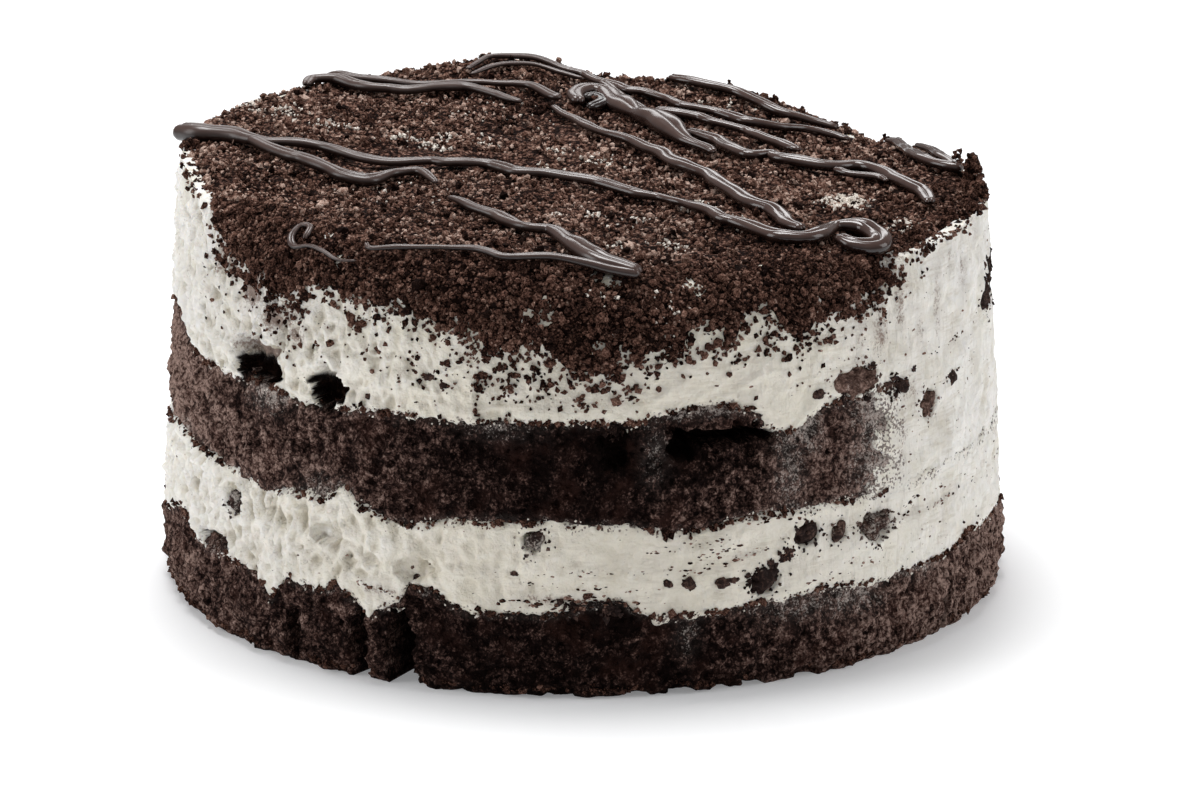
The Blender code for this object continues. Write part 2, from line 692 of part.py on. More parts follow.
def keep_largest_shell(mesh):
    """Drops loose scraps and fills sealed hollows, which are shells of their own."""
    bm = bmesh.new()
    bm.from_mesh(mesh)
    left = set(bm.verts)
    shells = []
    while left:
        shell = []
        waiting = [left.pop()]
        while waiting:
            vert = waiting.pop()
            shell.append(vert)
            for edge in vert.link_edges:
                other = edge.other_vert(vert)
                if other in left:
                    left.remove(other)
                    waiting.append(other)
        shells.append(shell)
    shells.sort(key=len)
    for shell in shells[:-1]:
        bmesh.ops.delete(bm, geom=shell, context="VERTS")
    bm.to_mesh(mesh)
    bm.free()


def make_cookies(cake, hollows):
    """Cookie pieces on the wall, each with a pocket a little larger than itself."""
    for index, (name, angle, height, width, tall, deep) in enumerate(COOKIES):
        inset = deep * (0.5 - COOKIE_PROUD) * MM
        detail = 2 if width > LARGE_COOKIE else 1
        mesh = lump(name, width * MM, tall * MM, deep * MM, index + 3.0, COOKIE_ROUGHNESS, detail)
        pocket = mesh.copy()
        grow(pocket, POCKET_CLEARANCE)
        for piece in (mesh, pocket):
            on_wall(piece, angle, height * MM, inset)
        finished(name, mesh, "cookie", cake)
        touched = ["ice_cream_lower"] if height * MM < SEAM_MID else ["ice_cream_upper", "sponge_upper"]
        for body in touched:
            cutter("pocket_" + name + "_" + body, pocket, hollows[body])


def make_hollows(hollows):
    for body, places in HOLLOWS.items():
        for index, (angle, height, width, tall, deep) in enumerate(places):
            name = "hollow_%s_%d" % (body, index)
            seed = index * 1.9 + len(body)
            mesh = lump(name, width * MM, tall * MM, deep * 2 * MM, seed, HOLLOW_ROUGHNESS, 1)
            on_wall(mesh, angle, height * MM, 0.0)
            cutter(name, mesh, hollows[body])


def main():
    for obj in list(bpy.data.objects):
        bpy.data.objects.remove(obj)
    scene = bpy.context.scene
    cake = bpy.data.collections.new("cookies_and_cream_ice_cream_cake")
    scene.collection.children.link(cake)
    makers = (make_sponge_bottom, make_ice_cream_lower, make_sponge_upper, make_ice_cream_upper)
    bodies = {body.name: body for body in (make(cake) for make in makers)}
    topping = make_crumb_topping(cake)
    fuse_onto_topping(topping, bodies["ice_cream_upper"])
    hollows = {}
    for name in bodies:
        hollows[name] = bpy.data.collections.new("cut_from_" + name)
        scene.collection.children.link(hollows[name])
    make_hollows(hollows)
    make_cookies(cake, hollows)
    for name, body in bodies.items():
        join_or_cut(body, hollows[name], "DIFFERENCE")


main()
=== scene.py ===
"""Looks of the cookies and cream ice cream cake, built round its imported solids.

Each layer is a fine mesh over the solid that it stands for, with its own relief, pits and cracks.
The crumbs, flecks and drizzle are real meshes that lie on those.
Metres, +Z up, and the front faces -Y. Angles are in degrees round the cake from the front, and grow
towards the right.
"""

import itertools
import math

import bmesh
import bpy
import numpy as np
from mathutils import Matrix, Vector, noise
from mathutils.bvhtree import BVHTree


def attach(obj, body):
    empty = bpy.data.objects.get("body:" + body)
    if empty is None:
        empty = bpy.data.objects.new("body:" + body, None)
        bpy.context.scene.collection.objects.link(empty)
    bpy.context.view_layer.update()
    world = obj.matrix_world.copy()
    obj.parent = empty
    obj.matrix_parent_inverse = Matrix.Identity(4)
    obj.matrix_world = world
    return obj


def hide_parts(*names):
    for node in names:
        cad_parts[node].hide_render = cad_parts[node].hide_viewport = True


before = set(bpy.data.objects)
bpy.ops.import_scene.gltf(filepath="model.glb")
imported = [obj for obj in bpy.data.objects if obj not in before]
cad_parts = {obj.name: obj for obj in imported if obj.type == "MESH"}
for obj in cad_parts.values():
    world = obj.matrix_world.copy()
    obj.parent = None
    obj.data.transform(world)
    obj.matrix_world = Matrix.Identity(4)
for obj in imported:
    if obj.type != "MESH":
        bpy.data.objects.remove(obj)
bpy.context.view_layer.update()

MM = 0.001

# Outline, seams and topping of the solids
WALL_RADIUS = 92.0 * MM
WIDEST_HEIGHT = 10.0 * MM
WALL_LEAN = 0.060
FOOT_TUCK = 0.080
SEAM_LOW = 17.3 * MM
SEAM_MID = 36.6 * MM
SEAM_HIGH = 57.3 * MM
TOP_MIDDLE = 91.0 * MM
TILT_RIGHT = -0.045
TILT_BACK = 0.034
SUNK_CORNER = (64.0 * MM, 52.0 * MM)
SUNK_DEPTH = 5.5 * MM
SUNK_SIZE = 30.0 * MM
# Rises of the topping: x, y, width and rise in mm
MOUNDS = ((-19, 84, 15, 3.2), (8, 86, 14, -2.2))
CRUMB_PROUD = 0.7 * MM
SHOULDER_FRONT = 12.0 * MM
SHOULDER_BACK = 4.0 * MM
# How far below the topping's shoulder its edge lies at least, in mm by angle
EDGE_DROP = (
    (-180, 2), (-110, 2), (-98, 0.4), (-76, 0.4), (-62, 2), (46, 2), (56, 0.5), (95, 0.5), (115, 2),
    (180, 2),
)
FRONT_DRAPE = 11.0 * MM
FRONT_DRAPE_SPAN = (-63.0, 47.5)
DRAPE_FADE = 9.0
COAT_START = 44.0
COAT_END = 130.0

# Local rises and dips of each seam and of the crumb edge: angle, width in degrees, rise in mm
LOW_WAVES = (
    (-72, 5, 4.5), (-45, 2.6, -3.6), (-45.5, 0.9, -1.6), (-42, 1.2, 1.8), (-28, 2.4, -2.4),
    (-28.6, 0.9, -1.6), (-33.5, 1, 1.8), (-20, 3.5, 3.8), (-22.5, 1, 2), (2, 4, 3), (5, 1.4, 1.2),
    (16, 6, -1.2), (10, 1.5, -1), (34, 6, 1.5), (68, 6, 2), (108, 5, -3.5), (133, 6, 3), (163, 5, -4),
    (-150, 6, 3.5), (-112, 5, -3),
)
MID_WAVES = (
    (-72, 18, 3), (-32.9, 1.5, 3), (-31, 4, 1.8), (-24, 6, -2), (-46, 2.5, -1.2), (-4, 8, 0.8),
    (14, 6, -1.5), (96, 8, 2), (148, 6, -3), (-165, 5, 3), (-128, 7, -2.5),
)
HIGH_WAVES = (
    (-80, 9, 7), (-40, 3, -1.5), (16, 7, 3), (28, 4, -5), (140, 6, -4), (172, 7, 3.5), (-142, 5, -4),
    (-112, 8, 3),
)
EDGE_WAVES = (
    (3, 12, -10.5), (-12, 5, -4), (-47, 5, -3.5), (-64, 4, -1.5), (22, 3.6, -4), (30, 3.4, -6.5),
    (17, 3, -2), (118, 9, -4), (160, 12, -7), (-18, 4, -3), (-158, 8, -6), (-118, 10, -5),
)

# Rough relief of each solid: depth, size and shift of its noise
CRAG_LOWER_SPONGE = (1.7 * MM, 6.0 * MM, 1.0)
CRAG_UPPER_SPONGE = (1.3 * MM, 6.0 * MM, 3.0)
CRAG_LOWER_CREAM = (0.6 * MM, 9.0 * MM, 2.0)
CRAG_UPPER_CREAM = (0.6 * MM, 10.0 * MM, 4.0)

# Hollows in each layer's wall: angle, height, width, tall, deep in mm; a bump has a depth below 0
HOLLOWS = {
    "sponge_bottom": (
        (2.4, 18.6, 12, 5, -1.2), (13, 0.8, 6, 4.4, 2.6), (18.4, 1, 4, 5, 2.2), (23, 0.6, 5, 3.6, 2.4),
        (-3, 0.6, 6, 3.2, 1.8), (7, 0.4, 5, 3, 1.8), (31, 0.6, 6, 3.4, 1.8), (-22, 0.6, 4, 3.4, 2),
        (-41.2, 6.5, 2.6, 11, 5), (-30.2, 7, 4.2, 16, 8), (-24.1, 7, 5.6, 20, 10), (-71, 5, 2.2, 10, 4),
        (58, 6, 2.4, 13, 4.5), (97, 5, 3.6, 13, 6), (148, 6, 3, 15, 6), (-168, 5, 4, 12, 7),
        (-122, 6, 2.8, 14, 5),
    ),
    "ice_cream_lower": (
        (-59, 19.6, 12, 4.4, 6), (-35.2, 29.8, 8, 4.4, 3.2), (-22.2, 25.4, 8.6, 5, 2.6),
        (-28.3, 26.2, 4, 2.8, 1.6), (143, 23, 9, 5, 4), (-146, 30, 8, 4.5, 3.5),
    ),
    "sponge_upper": (
        (-49.4, 62.2, 15.4, 8.4, 5.2), (-36, 59.8, 9, 6.8, 5.2), (19.4, 53.7, 21, 3.3, 6.4),
        (13, 52.6, 6.4, 6.6, 5.6), (25, 53.4, 3.4, 3.8, 5), (4.4, 53.4, 6.6, 9.6, 3.6),
        (18, 57.8, 22, 4.4, -0.7), (11.6, 55.9, 2.8, 2.4, 2.4), (15.2, 56.1, 2.2, 2, 2),
        (20.6, 56.2, 2.6, 2.2, 2.4), (23.4, 55.6, 1.8, 2.4, 2.2), (17.8, 50.6, 4, 2.6, 1.6),
        (22.6, 50.4, 3, 2.8, 1.8), (9.4, 49, 3.4, 3.6, 1.8), (-100, 48, 9, 5, 4.5), (157, 47, 14, 4.5, 5),
        (-170, 51, 7, 6, 5),
    ),
    "ice_cream_upper": (
        (-49.4, 62.2, 16.4, 11, 4.6), (-36, 60.2, 9.6, 9, 4.6), (4.4, 53.6, 6.8, 9.8, 5.4),
        (17.6, 51.6, 29, 6.6, 9), (-152, 61, 12, 7.5, 7), (166, 62.5, 9, 6, 6),
    ),
}

# Where each cookie piece sits: angle, height, width and tall in mm
COOKIE_PLACES = (
    (24, 22.6, 8.4, 6.2), (30.6, 31, 7.2, 6.4), (35.9, 29.9, 4.6, 4.6), (42.2, 29.4, 10, 7),
    (-6.1, 33.2, 5.8, 5.2), (-53.8, 30, 5.6, 5.2), (39.8, 60.6, 13.5, 7.6), (54, 51.6, 6.6, 6.4),
    (77.5, 66.8, 8.5, 7), (112, 28, 9, 7), (151, 68, 8, 6), (-167, 27.5, 8, 7), (-122, 68.5, 9, 7),
    (-98, 27.5, 7, 6),
)
# How much cream sticks to each of them, and how light it is
COOKIE_LOOKS = (
    (0.05, 0.1), (0.05, 0.15), (0.3, 0.6), (0.55, 0.6), (0.5, 0.35), (0.5, 0.3), (0.2, 1), (0.1, 0.85),
    (0.05, 0.2), (0.3, 0.4), (0.1, 0.4), (0.4, 0.5), (0.1, 0.3), (0.3, 0.5),
)
# Depth of a cookie piece's pocket in mm, and its size as a share of the piece's
POCKET_DEPTH = 2.6
POCKET_SHARE = 0.82
# Hollows deeper than this get painted shade inside, and a wide one only below its ceiling, both in mm
DEEP = 4
WIDE_HOLLOW = 12
# Share of a hollow's size that its rim takes up
SHALLOW_RIM = 0.32
CREAM_RIM = 0.30
SPONGE_RIM = 0.16

# Frost and smeared cream on the sponges: angle, height, width, tall in mm, strength
FROST = (
    (-47, 55.4, 11, 5, 0.9), (-36.5, 39, 11, 6, 0.55), (-10.8, 56, 14, 4, 0.35), (9.6, 51, 5, 11, 0.5),
    (28.3, 46, 7, 16, 0.75), (31, 53, 7, 9, 0.8), (46.5, 46.4, 8, 20, 1), (43, 55, 12, 9, 0.9),
    (29.4, 15.5, 16, 5, 0.6), (13.7, 13.2, 5, 8, 0.45), (38, 15, 16, 6, 0.7), (17, 59.6, 22, 3, 0.5),
    (52, 17.5, 14, 5, 0.5), (128, 48, 8, 20, 0.9), (-70, 40, 8, 5, 0.4), (175, 42, 12, 6, 0.6),
    (-140, 55, 10, 5, 0.7), (-100, 38, 10, 5, 0.5), (150, 14, 14, 6, 0.6), (-130, 15, 10, 5, 0.5),
)
# Places on the sponges painted darker, in the same terms: mostly painted shade under the ledge and round the
# hollows, and the dark cookie chunk low at the front
DARK_AND_SHADED = (
    (4.4, 53, 9, 12, 0.45), (13, 50, 10, 7, 0.45), (20, 51, 14, 4, 0.2), (-9, 51.5, 30, 8, 0.2),
    (2.6, 18.6, 13, 5, 0.8), (-53, 52, 14, 4, 0.25), (25, 55.5, 10, 3, 0.25),
)
# Brown smears on the ice cream, and painted shade on the ceiling of one hollow, in the same terms
SMEARS_AND_SHADE = (
    (-27, 20.3, 9, 3, 0.75), (15.5, 26.4, 10, 1.6, 0.5), (22, 28.8, 9, 1.6, 0.7), (49, 29.6, 10, 1.6, 0.6),
    # The first entry on the next line is painted shade on the ceiling of the wide hollow at -49.4 degrees
    (-50, 64.4, 13, 4.5, 1.4), (-56, 80, 6, 6, 1), (-51, 76.5, 8, 6, 1.1), (-46, 73, 8, 6, 1.1),
    (-41.5, 70.5, 7, 4, 0.9), (-44, 73, 18, 9, 0.7), (-51, 78, 10, 9, 0.8), (47.5, 47, 7, 18, 0.55),
    (-20, 30, 14, 4, 0.35), (6, 29, 16, 5, 0.28), (50, 78, 9, 10, 0.5), (58, 46, 5, 20, 0.35),
    (69, 50, 5, 24, 0.3), (50, 56, 10, 9, 0.6), (55, 50, 6, 12, 0.5), (41, 76, 10, 12, 0.5),
    (62, 80, 7, 10, 0.5), (72, 84, 6, 8, 0.5), (64, 66, 5, 14, 0.35), (36, 30.5, 18, 7, 0.4),
    (28, 26, 12, 6, 0.4), (12, 31.5, 10, 2, 0.45), (-14, 27, 12, 2, 0.35), (57, 29.8, 14, 1.8, 0.7),
    (48.2, 67.8, 8, 9, 0.3), (-13.4, 61.1, 6, 3, 0.4), (-3.4, 61.9, 9, 2.5, 0.5), (-4, 21, 16, 2.4, 0.75),
    (44.1, 30.2, 6, 5, 0.55), (36, 28.3, 8, 3, 0.3), (20, 34.8, 26, 2.4, 0.35), (-62, 74, 12, 20, 0.3),
    (-72, 68, 10, 14, 0.3), (62, 62, 14, 4, 0.35), (75, 76, 6, 8, 0.4), (-71, 76, 4, 12, 0.62),
    (-60, 79, 7, 5, 0.7), (-53, 72, 5, 9, 0.5), (-48, 74, 9, 4, 0.6), (44, 70, 5, 12, 0.8),
    (48, 75, 4, 14, 0.72), (52.5, 68, 4, 10, 0.62), (40, 67, 4, 8, 0.62), (57, 72, 4, 16, 0.66),
    (66, 76, 5, 12, 0.66), (-44, 66, 6, 6, 0.45), (-12, 66, 12, 3, 0.4), (118, 62, 20, 3, 0.5),
    (160, 22, 14, 3, 0.6), (-160, 70, 18, 4, 0.5), (-105, 26, 16, 3, 0.5),
)

# How airy, streaky and pale the ice cream is, and the sponges' painted light and shade, by angle: the sponges
# are painted darkest at the front and lighter towards the lit sides
AIRY = (
    (-180, 0.5), (-150, 0.8), (-120, 0.45), (-90, 0.8), (-62, 1), (-36, 0.85), (-20, 0.4), (0, 0.15),
    (40, 0), (95, 0), (125, 0.3), (150, 0.6), (180, 0.5),
)
STREAKY = ((-180, 0.3), (-60, 0.25), (0, 0.1), (25, 0.3), (45, 1), (100, 1), (125, 0.4), (180, 0.3))
PALE = (
    (-180, 0.6), (-90, 1), (-60, 0.9), (-40, 0.55), (-15, 0.12), (20, 0.15), (45, 0.55), (65, 0.9),
    (120, 0.9), (180, 0.6),
)
PAINTED_LIGHT_UPPER = (
    (-180, 0.5), (-120, 0.56), (-85, 0.8), (-60, 0.66), (-40, 0.44), (-22, 0.31), (-8, 0.09), (4, 0.06),
    (14, 0.31), (26, 0.42), (38, 0.5), (60, 0.58), (120, 0.54), (180, 0.5),
)
PAINTED_LIGHT_LOWER = (
    (-180, 0.45), (-120, 0.5), (-75, 0.54), (-50, 0.4), (-35, 0.27), (-29.5, 0.4), (-24, 0.2), (-12, 0.06),
    (10, 0.09), (25, 0.34), (40, 0.5), (58, 0.67), (90, 0.74), (130, 0.54), (180, 0.45),
)


# Points round each layer's wall
COLUMNS = 880
# How much closer together the columns are at the front than at the sides
FRONT_FINER = 0.25
# How far a sponge and an ice cream run on behind their neighbours
SPONGE_OVERLAP = 2.0 * MM
CREAM_OVERLAP = 2.5 * MM
# How far a wall draws in behind its neighbour, and its ends run in towards the middle
TUCK_DEPTH = 2.4 * MM
LEDGE = 9.0 * MM
LID_DEPTH = 7.0 * MM
FOOT_ROUNDING = 1.2 * MM
# Height of the ice cream's rounded edge, how wide the coat's border fades, and the dust along seams in mm
LIP_HEIGHT = 0.5 * MM
COAT_FADE = 5 * MM
EDGE_DUST = 2.6
CREAM_SEED = 40
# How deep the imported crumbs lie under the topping's skin, and how much deeper at their edge
BED_DEPTH = 0.35 * MM
BED_EDGE_DEPTH = 1.1 * MM

# Drizzle: x, y and width in mm of points along each line
DRIZZLES = (
    ((-89, 12, 6.2), (-84, 8, 6.6), (-81, 7, 5.3), (-76, 5, 4.3), (-72, 1, 3.4), (-68, -1, 2.6),
     (-64, -1, 2.6), (-57, -2, 2.8), (-51, -6, 2.6), (-45, -9, 2.4), (-40, -10, 2.4), (-33, -9, 2.4),
     (-29, -11, 2.3), (-21, -10, 2.3), (-17, -13, 2.6), (-14, -16, 2.7), (-8, -16, 2.6), (-3, -18, 2.6),
     (3, -20, 2.9), (8, -24, 3), (12, -27, 2.9), (16, -28, 2.4), (19, -31, 2.5), (22, -34, 2.7),
     (24, -38, 2.8), (27, -42, 3.1), (29, -46, 3.1), (32, -48, 3.2), (35, -51, 3.3), (38, -55, 3.4),
     (41, -58, 3.9), (46, -58, 3.8), (49, -55, 3.8), (51, -50, 3.7), (53, -46, 3.7), (58, -46, 4.3),
     (60.5, -49, 4.5), (62, -53, 4.5), (61, -57, 4.4), (56, -58, 4), (53, -55, 3.2)),
    ((-72, 1, 2.8), (-68, -6, 2.9), (-63, -12, 3.1), (-60, -14, 3.1), (-54, -20, 3.2), (-51, -24, 3.2),
     (-46, -26, 3.2), (-43, -23, 2.9), (-40, -19, 2.7), (-35, -18, 2.4), (-31, -26, 1.3)),
    ((-28, -38, 1.1), (-23, -45, 2.5), (-18, -49, 2.8), (-16, -52, 2.8), (-13, -57, 2.8), (-10, -59, 2.8),
     (-6, -60, 3.1), (-2, -69, 4), (1, -74.5, 4.2), (4, -78, 4), (8, -79.5, 3.8), (12, -81, 3.4)),
    ((12, -81, 3.4), (6, -80.5, 3), (1, -79.5, 2.8), (-6, -78.5, 2.3), (-15, -79, 1.7), (-19, -77, 1.6),
     (-23, -75, 1.3), (-32, -73, 1.3), (-37, -72, 1.5), (-43, -71, 1.1), (-44, -69, 0.7)),
    ((0, 51, 2.6), (2.5, 52.5, 3.6), (4.5, 49.5, 3.6), (3, 46, 3), (1, 44, 2)),
    ((-57, -62, 1), (-56, -59, 1.1), (-58, -57, 1.2), (-60, -59, 1.3), (-59, -62, 1.3), (-56, -64, 1),
     (-53, -67, 0.8), (-50, -70, 0.7), (-46, -72, 0.6)),
    ((-63, 52, 1.5), (-62, 57, 2.9), (-58, 58, 3.3), (-55, 57, 3.4), (-49, 52, 3.1), (-44, 51, 2.9),
     (-40, 50, 2.7), (-33, 53, 2.6), (-29, 55, 2.6), (-26, 55, 2.4), (-20, 51, 2.2), (-18, 49, 2),
     (-14, 46, 1.2)),
    ((-60, 66, 2.2), (-54, 62, 2.4), (-49, 60, 2.2), (-43, 58, 2.1), (-38, 56, 1.9), (-33, 57, 1.9),
     (-27, 60, 1.9), (-20, 60, 2.1), (-14, 59, 2.1), (-11, 57, 2.1), (-7, 51, 2.2), (-5, 50, 2.6)),
    ((-7, 43, 1.2), (-5, 38, 1.5), (-2, 33, 1.9), (1, 26, 2.2), (5, 20, 2.3), (8, 17, 2.5), (11, 14, 2.7),
     (14, 10, 3.1), (17, 6, 3.1), (19, 1, 3.2), (21, -3, 3.2), (24, -7, 3.2), (27, -11, 3.3),
     (29, -17, 3.4), (32, -24, 3.5), (35, -31, 3.5), (37, -34, 3.4), (40, -37, 3.4), (42, -42, 3.3),
     (43, -47, 3.2), (46, -51, 2.8)),
    ((-1, 47, 2.8), (-2, 53, 3.9), (1, 58, 4.4), (5, 57, 4.4), (7, 51, 4.8), (9, 46, 5.6), (11, 41, 3.8),
     (12, 39, 3.4), (14, 36, 6), (17, 31, 7.4), (19, 26, 6.6), (21, 21, 4.6), (23, 17, 3), (27, 13, 2.4),
     (29, 10, 1.4)),
    ((16, 45, 2.5), (21, 43, 2.4), (26, 42, 2.4), (29, 39, 2.4), (36, 36, 2.4), (38, 33, 2.6),
     (41, 29, 2.7), (44, 25, 2.7), (46, 21, 2.4), (48, 19, 1.6)),
    ((23, 27, 1.4), (27, 24, 2.8), (30, 21, 3.1), (32, 15, 3.1), (36, 7, 3.1), (41, 9, 2.9), (43, 5, 3.1),
     (50, 2, 3.2), (55, 2, 3.5), (59, 4, 3.6), (62, 3, 3.8), (66, -2, 3.9), (68, -6, 3.4), (71, -12, 3.2),
     (73, -16, 3), (74, -25, 2)),
    ((55, 0, 2.1), (58, -3, 2.1), (64, -4, 1.9), (66, -7, 1.2)),
    ((-27, 70, 1), (-24, 74, 1.3), (-22, 76, 1.6), (-18, 77, 1.7), (-11, 78, 1.7), (-4, 76, 1.8),
     (0, 75, 2), (3, 70, 2.2), (8, 64, 2.3), (10, 61, 2.5), (14, 60, 2.5), (19, 56, 2.5), (22, 51, 2.5),
     (26, 50, 2.5), (30, 49, 2.6), (34, 46, 2.7), (37, 43, 2.7), (44, 44, 2.6), (47, 46, 2.5),
     (51, 48, 2.5), (57, 47, 2.5), (60, 45, 1.4)),
    ((-26, 66, 0.9), (-21, 71, 1.3), (-12, 74, 1.4), (-5, 72, 1.4), (0, 70, 1)),
    ((4, 68, 1.7), (6, 63, 1.9), (9, 54, 1.9), (12, 49, 1.9), (14, 45, 1.9)),
    ((20, 77, 1.9), (23, 74, 2.5), (29, 71, 2.7), (35, 69, 2.8), (40, 64, 2.8), (45, 59, 2.8),
     (51, 58, 2.6), (55, 57, 2.5), (58, 56, 1.5)),
    ((69, 46, 1.6), (71, 41, 2.2), (72, 31, 2.6), (73, 21, 2.8), (75, 12, 2.8), (77, 8, 2.7), (81, 5, 3.9),
     (83, 5, 3.5)),
    ((75, 35, 1.6), (78, 25, 2.4), (79, 16, 2.4), (81, 10, 2.4), (82, 6, 2.4)),
)
# The line inside the knot, which is darker: it takes the tubes' painted underside shade all over
DARK_LINE = 4
DRIZZLE_STEP = 0.75 * MM
DRIZZLE_LIFT = 1.4 * MM
STRANDS = 2
TUBE_SIDES = 12
# Darker places on the top, partly painted shadow in front of the drizzle lines and partly darker crumbs and
# clumps: x, y and reach in mm, and how dark
DARK_AND_SHADOWED_TOP = (
    (42, -63, 7, 0.65), (34, -57, 5, 0.45), (66, -28, 5, 0.7), (-11, 45, 5, 0.65), (-12, -3, 4, 0.55),
    (-50, 33, 5, 0.45), (70, -45, 5, 0.55), (64, -60, 6, 0.55), (-86, 4, 6, 0.55), (-63, -61, 5, 0.5),
    (20, 60, 6, 0.35), (2, 46, 4, 0.7), (84, -2, 7, 0.6), (75, -14, 5, 0.5), (72, -42, 13, 0.22),
    (76, -8, 13, 0.2),
)
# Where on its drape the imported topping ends, from 0 at the edge to 1 on the top, by angle
BED_END = (
    (-180, 0.04), (-104, 0.04), (-96, 0.7), (-76, 0.78), (-66, 0.3), (-58, 0.04), (19, 0.04), (23, 0.22),
    (29, 0.2), (33, 0.04), (50, 0.06), (58, 0.6), (96, 0.6), (110, 0.04), (180, 0.04),
)
# Crumbs on the bed, and loose ones on the ice cream: name, how many, their mean width in mm, its
# spread, and how finely each is made
CRUMB_KINDS = (("crumbs_1", 5600, 1.1, 0.26, 1), ("crumbs_2", 21000, 0.8, 0.26, 0))
EDGE_CRUMB_KINDS = (("edge_crumbs_1", 2100, 1.2, 0.28, 1), ("edge_crumbs_2", 7600, 0.86, 0.28, 0))

# Clumps of crumbs on the top: x, y, width and height in mm
CLUMPS = (
    (85, 1, 4.6, 7), (82, 6, 2.6, 6), (86, -4, 3.6, 3), (84, -12, 3, 2), (86, -9, 3.4, 4),
    (84, -17, 3.4, 3), (85, -22, 3.6, 2.4), (81, -27, 3.4, 2), (-87, 9, 5, 3), (-86, 3, 4, 2.4),
    (3, 50, 4.6, 3.4), (-8, 44, 6, 2.4), (73, 50, 3, 2.4), (70, 54, 2.4, 3), (63, -60, 5, 2),
    (-61, -60, 4.5, 2), (-17, 77, 2.4, 2.4), (-4.5, 77, 2.2, 2.2), (-2, 76, 2, 1.6), (11, 74, 2, 1.4),
    (17, 74, 2, 1.6), (-64, 62, 2.4, 1.6), (44, 70, 2.4, 2.2), (50, 66, 2.2, 2.2), (60, 60, 2, 2),
    (-40, 76, 2, 1.6), (34, 78, 1.8, 2), (-52, 70, 2, 1.4), (78, -28, 4, 2), (70, -44, 4, 2.4),
    (57, -62, 4, 2), (66, 20, 4, 1.8), (-18, -72, 4, 2), (-30, -80, 3.6, 2),
)
# Places on the top where cream shows as pale flecks: x, y, spread in mm, how many
PALE_SPOTS = (
    (-65, 64, 5, 8), (-67, 32, 5, 12), (-57, 23, 4, 9), (-52, 23, 3, 6), (-40, 14, 5, 9), (-33, 9, 4, 7),
    (-29, 17, 4, 7), (-22, 14, 4, 6), (-7, -5, 3, 7), (-5, 9, 4, 5), (-6, -41, 3, 3), (2, -39, 3, 4),
    (2, -70, 2, 6), (4, 2, 6, 9), (25, -31, 5, 6), (55, -25, 5, 44), (57, -23, 3, 34), (6, -64, 3, 3),
    (19, -61, 4, 7), (4, -91, 4, 6), (19, -85, 4, 6), (-77, 49, 3, 8), (-75, 37, 4, 9), (32, -43, 4, 4),
    (68, -39, 4, 8), (67, -56, 3, 4), (12, -43, 5, 4), (-20, 40, 16, 10), (30, 60, 14, 8),
    (-40, -30, 14, 6),
)
# Knots of crumbs on the wall: angle, height, width in mm
KNOTS = (
    (47, 57.8, 6), (-52, 56.6, 3), (82, 71, 5), (4.4, 55.4, 4.4), (25, 25.6, 3), (27.2, 27.8, 2.6),
    (-1, 19.4, 3.4), (3.6, 19.4, 4.4), (37.5, 57.6, 4), (42, 62.6, 4),
)
# How far down the wall loose crumbs lie, in mm, by angle
CRUMB_REACH = (
    (-180, 2.5), (-120, 2.5), (-98, 0.8), (-78, 0.8), (-62, 2.2), (-45, 3.6), (-30, 3.6), (-12, 3),
    (4, 1.2), (16, 1.6), (30, 2.6), (44, 3.4), (54, 1.8), (62, 1), (100, 0.8), (140, 2.5), (180, 2.5),
)
# Places on the wall strewn with more crumbs: angle, height, width, tall in mm, strength
CRUMB_PATCHES = (
    (-55, 83, 6, 5, 3), (-50, 80, 7, 6, 3.5), (-45, 77, 7, 6, 3.5), (-41, 75, 6, 5, 2.5),
    (-12, 67, 22, 10, 2.2), (-21, 70, 16, 9, 0.7), (-9, 62, 10, 6, 0.35), (3, 63, 12, 7, 1.2),
    (-44, 72, 18, 10, 0.35), (-51, 79, 10, 8, 1), (-60, 76, 12, 14, 0.3), (27, 71, 16, 9, 0.5),
    (34, 70, 10, 12, 0.5), (42, 76, 12, 14, 0.55), (30.5, 65, 5, 6, 0.4), (54, 82, 12, 7, 0.3),
    (20, 69, 12, 5, 0.35), (-30, 74, 14, 6, 0.3), (128, 74, 20, 10, 0.4), (-150, 72, 20, 10, 0.4),
)
# Flecks of cookie in lines along the ice cream: from and to (angle, height), how many, and the
# smallest and largest in mm
FLECK_LINES = (
    ((13, 25.6), (24.5, 29.4), 26, 0.4, 1.1), ((47, 29), (62, 29.8), 22, 0.4, 1.2),
    ((-11, 20.2), (3, 21.6), 34, 0.6, 1.9), ((-5, 26.4), (12, 27.2), 26, 0.3, 0.8),
    ((8, 30.2), (19, 32.4), 24, 0.3, 0.9), ((12, 27.6), (21, 31), 26, 0.4, 1.2),
    ((-8, 24.4), (10, 22.6), 22, 0.3, 0.9), ((-9, 19.4), (7, 20.4), 30, 0.5, 1.4),
    ((44, 31.4), (58, 33), 20, 0.4, 1), ((56, 55), (72, 57), 16, 0.4, 1),
    ((-30.5, 21.6), (-23.5, 19), 20, 0.4, 1.1), ((20, 35.2), (34, 34.6), 20, 0.4, 1),
    ((26.2, 24.6), (28.6, 29), 9, 1.2, 2.4), ((-2, 63), (8, 62.6), 12, 0.4, 0.9),
    ((52, 62.2), (66, 63), 18, 0.4, 1.2), ((30, 21), (41, 22.4), 14, 0.4, 0.9),
    ((72, 28), (96, 29), 26, 0.4, 1.2), ((128, 30), (152, 27), 30, 0.5, 1.5),
    ((-150, 24), (-118, 27), 30, 0.5, 1.5), ((160, 68), (-170, 66), 26, 0.5, 1.4),
    ((-110, 72), (-88, 70), 20, 0.5, 1.4),
)
# How many flecks lie apart from the lines
LONE_FLECKS = 520
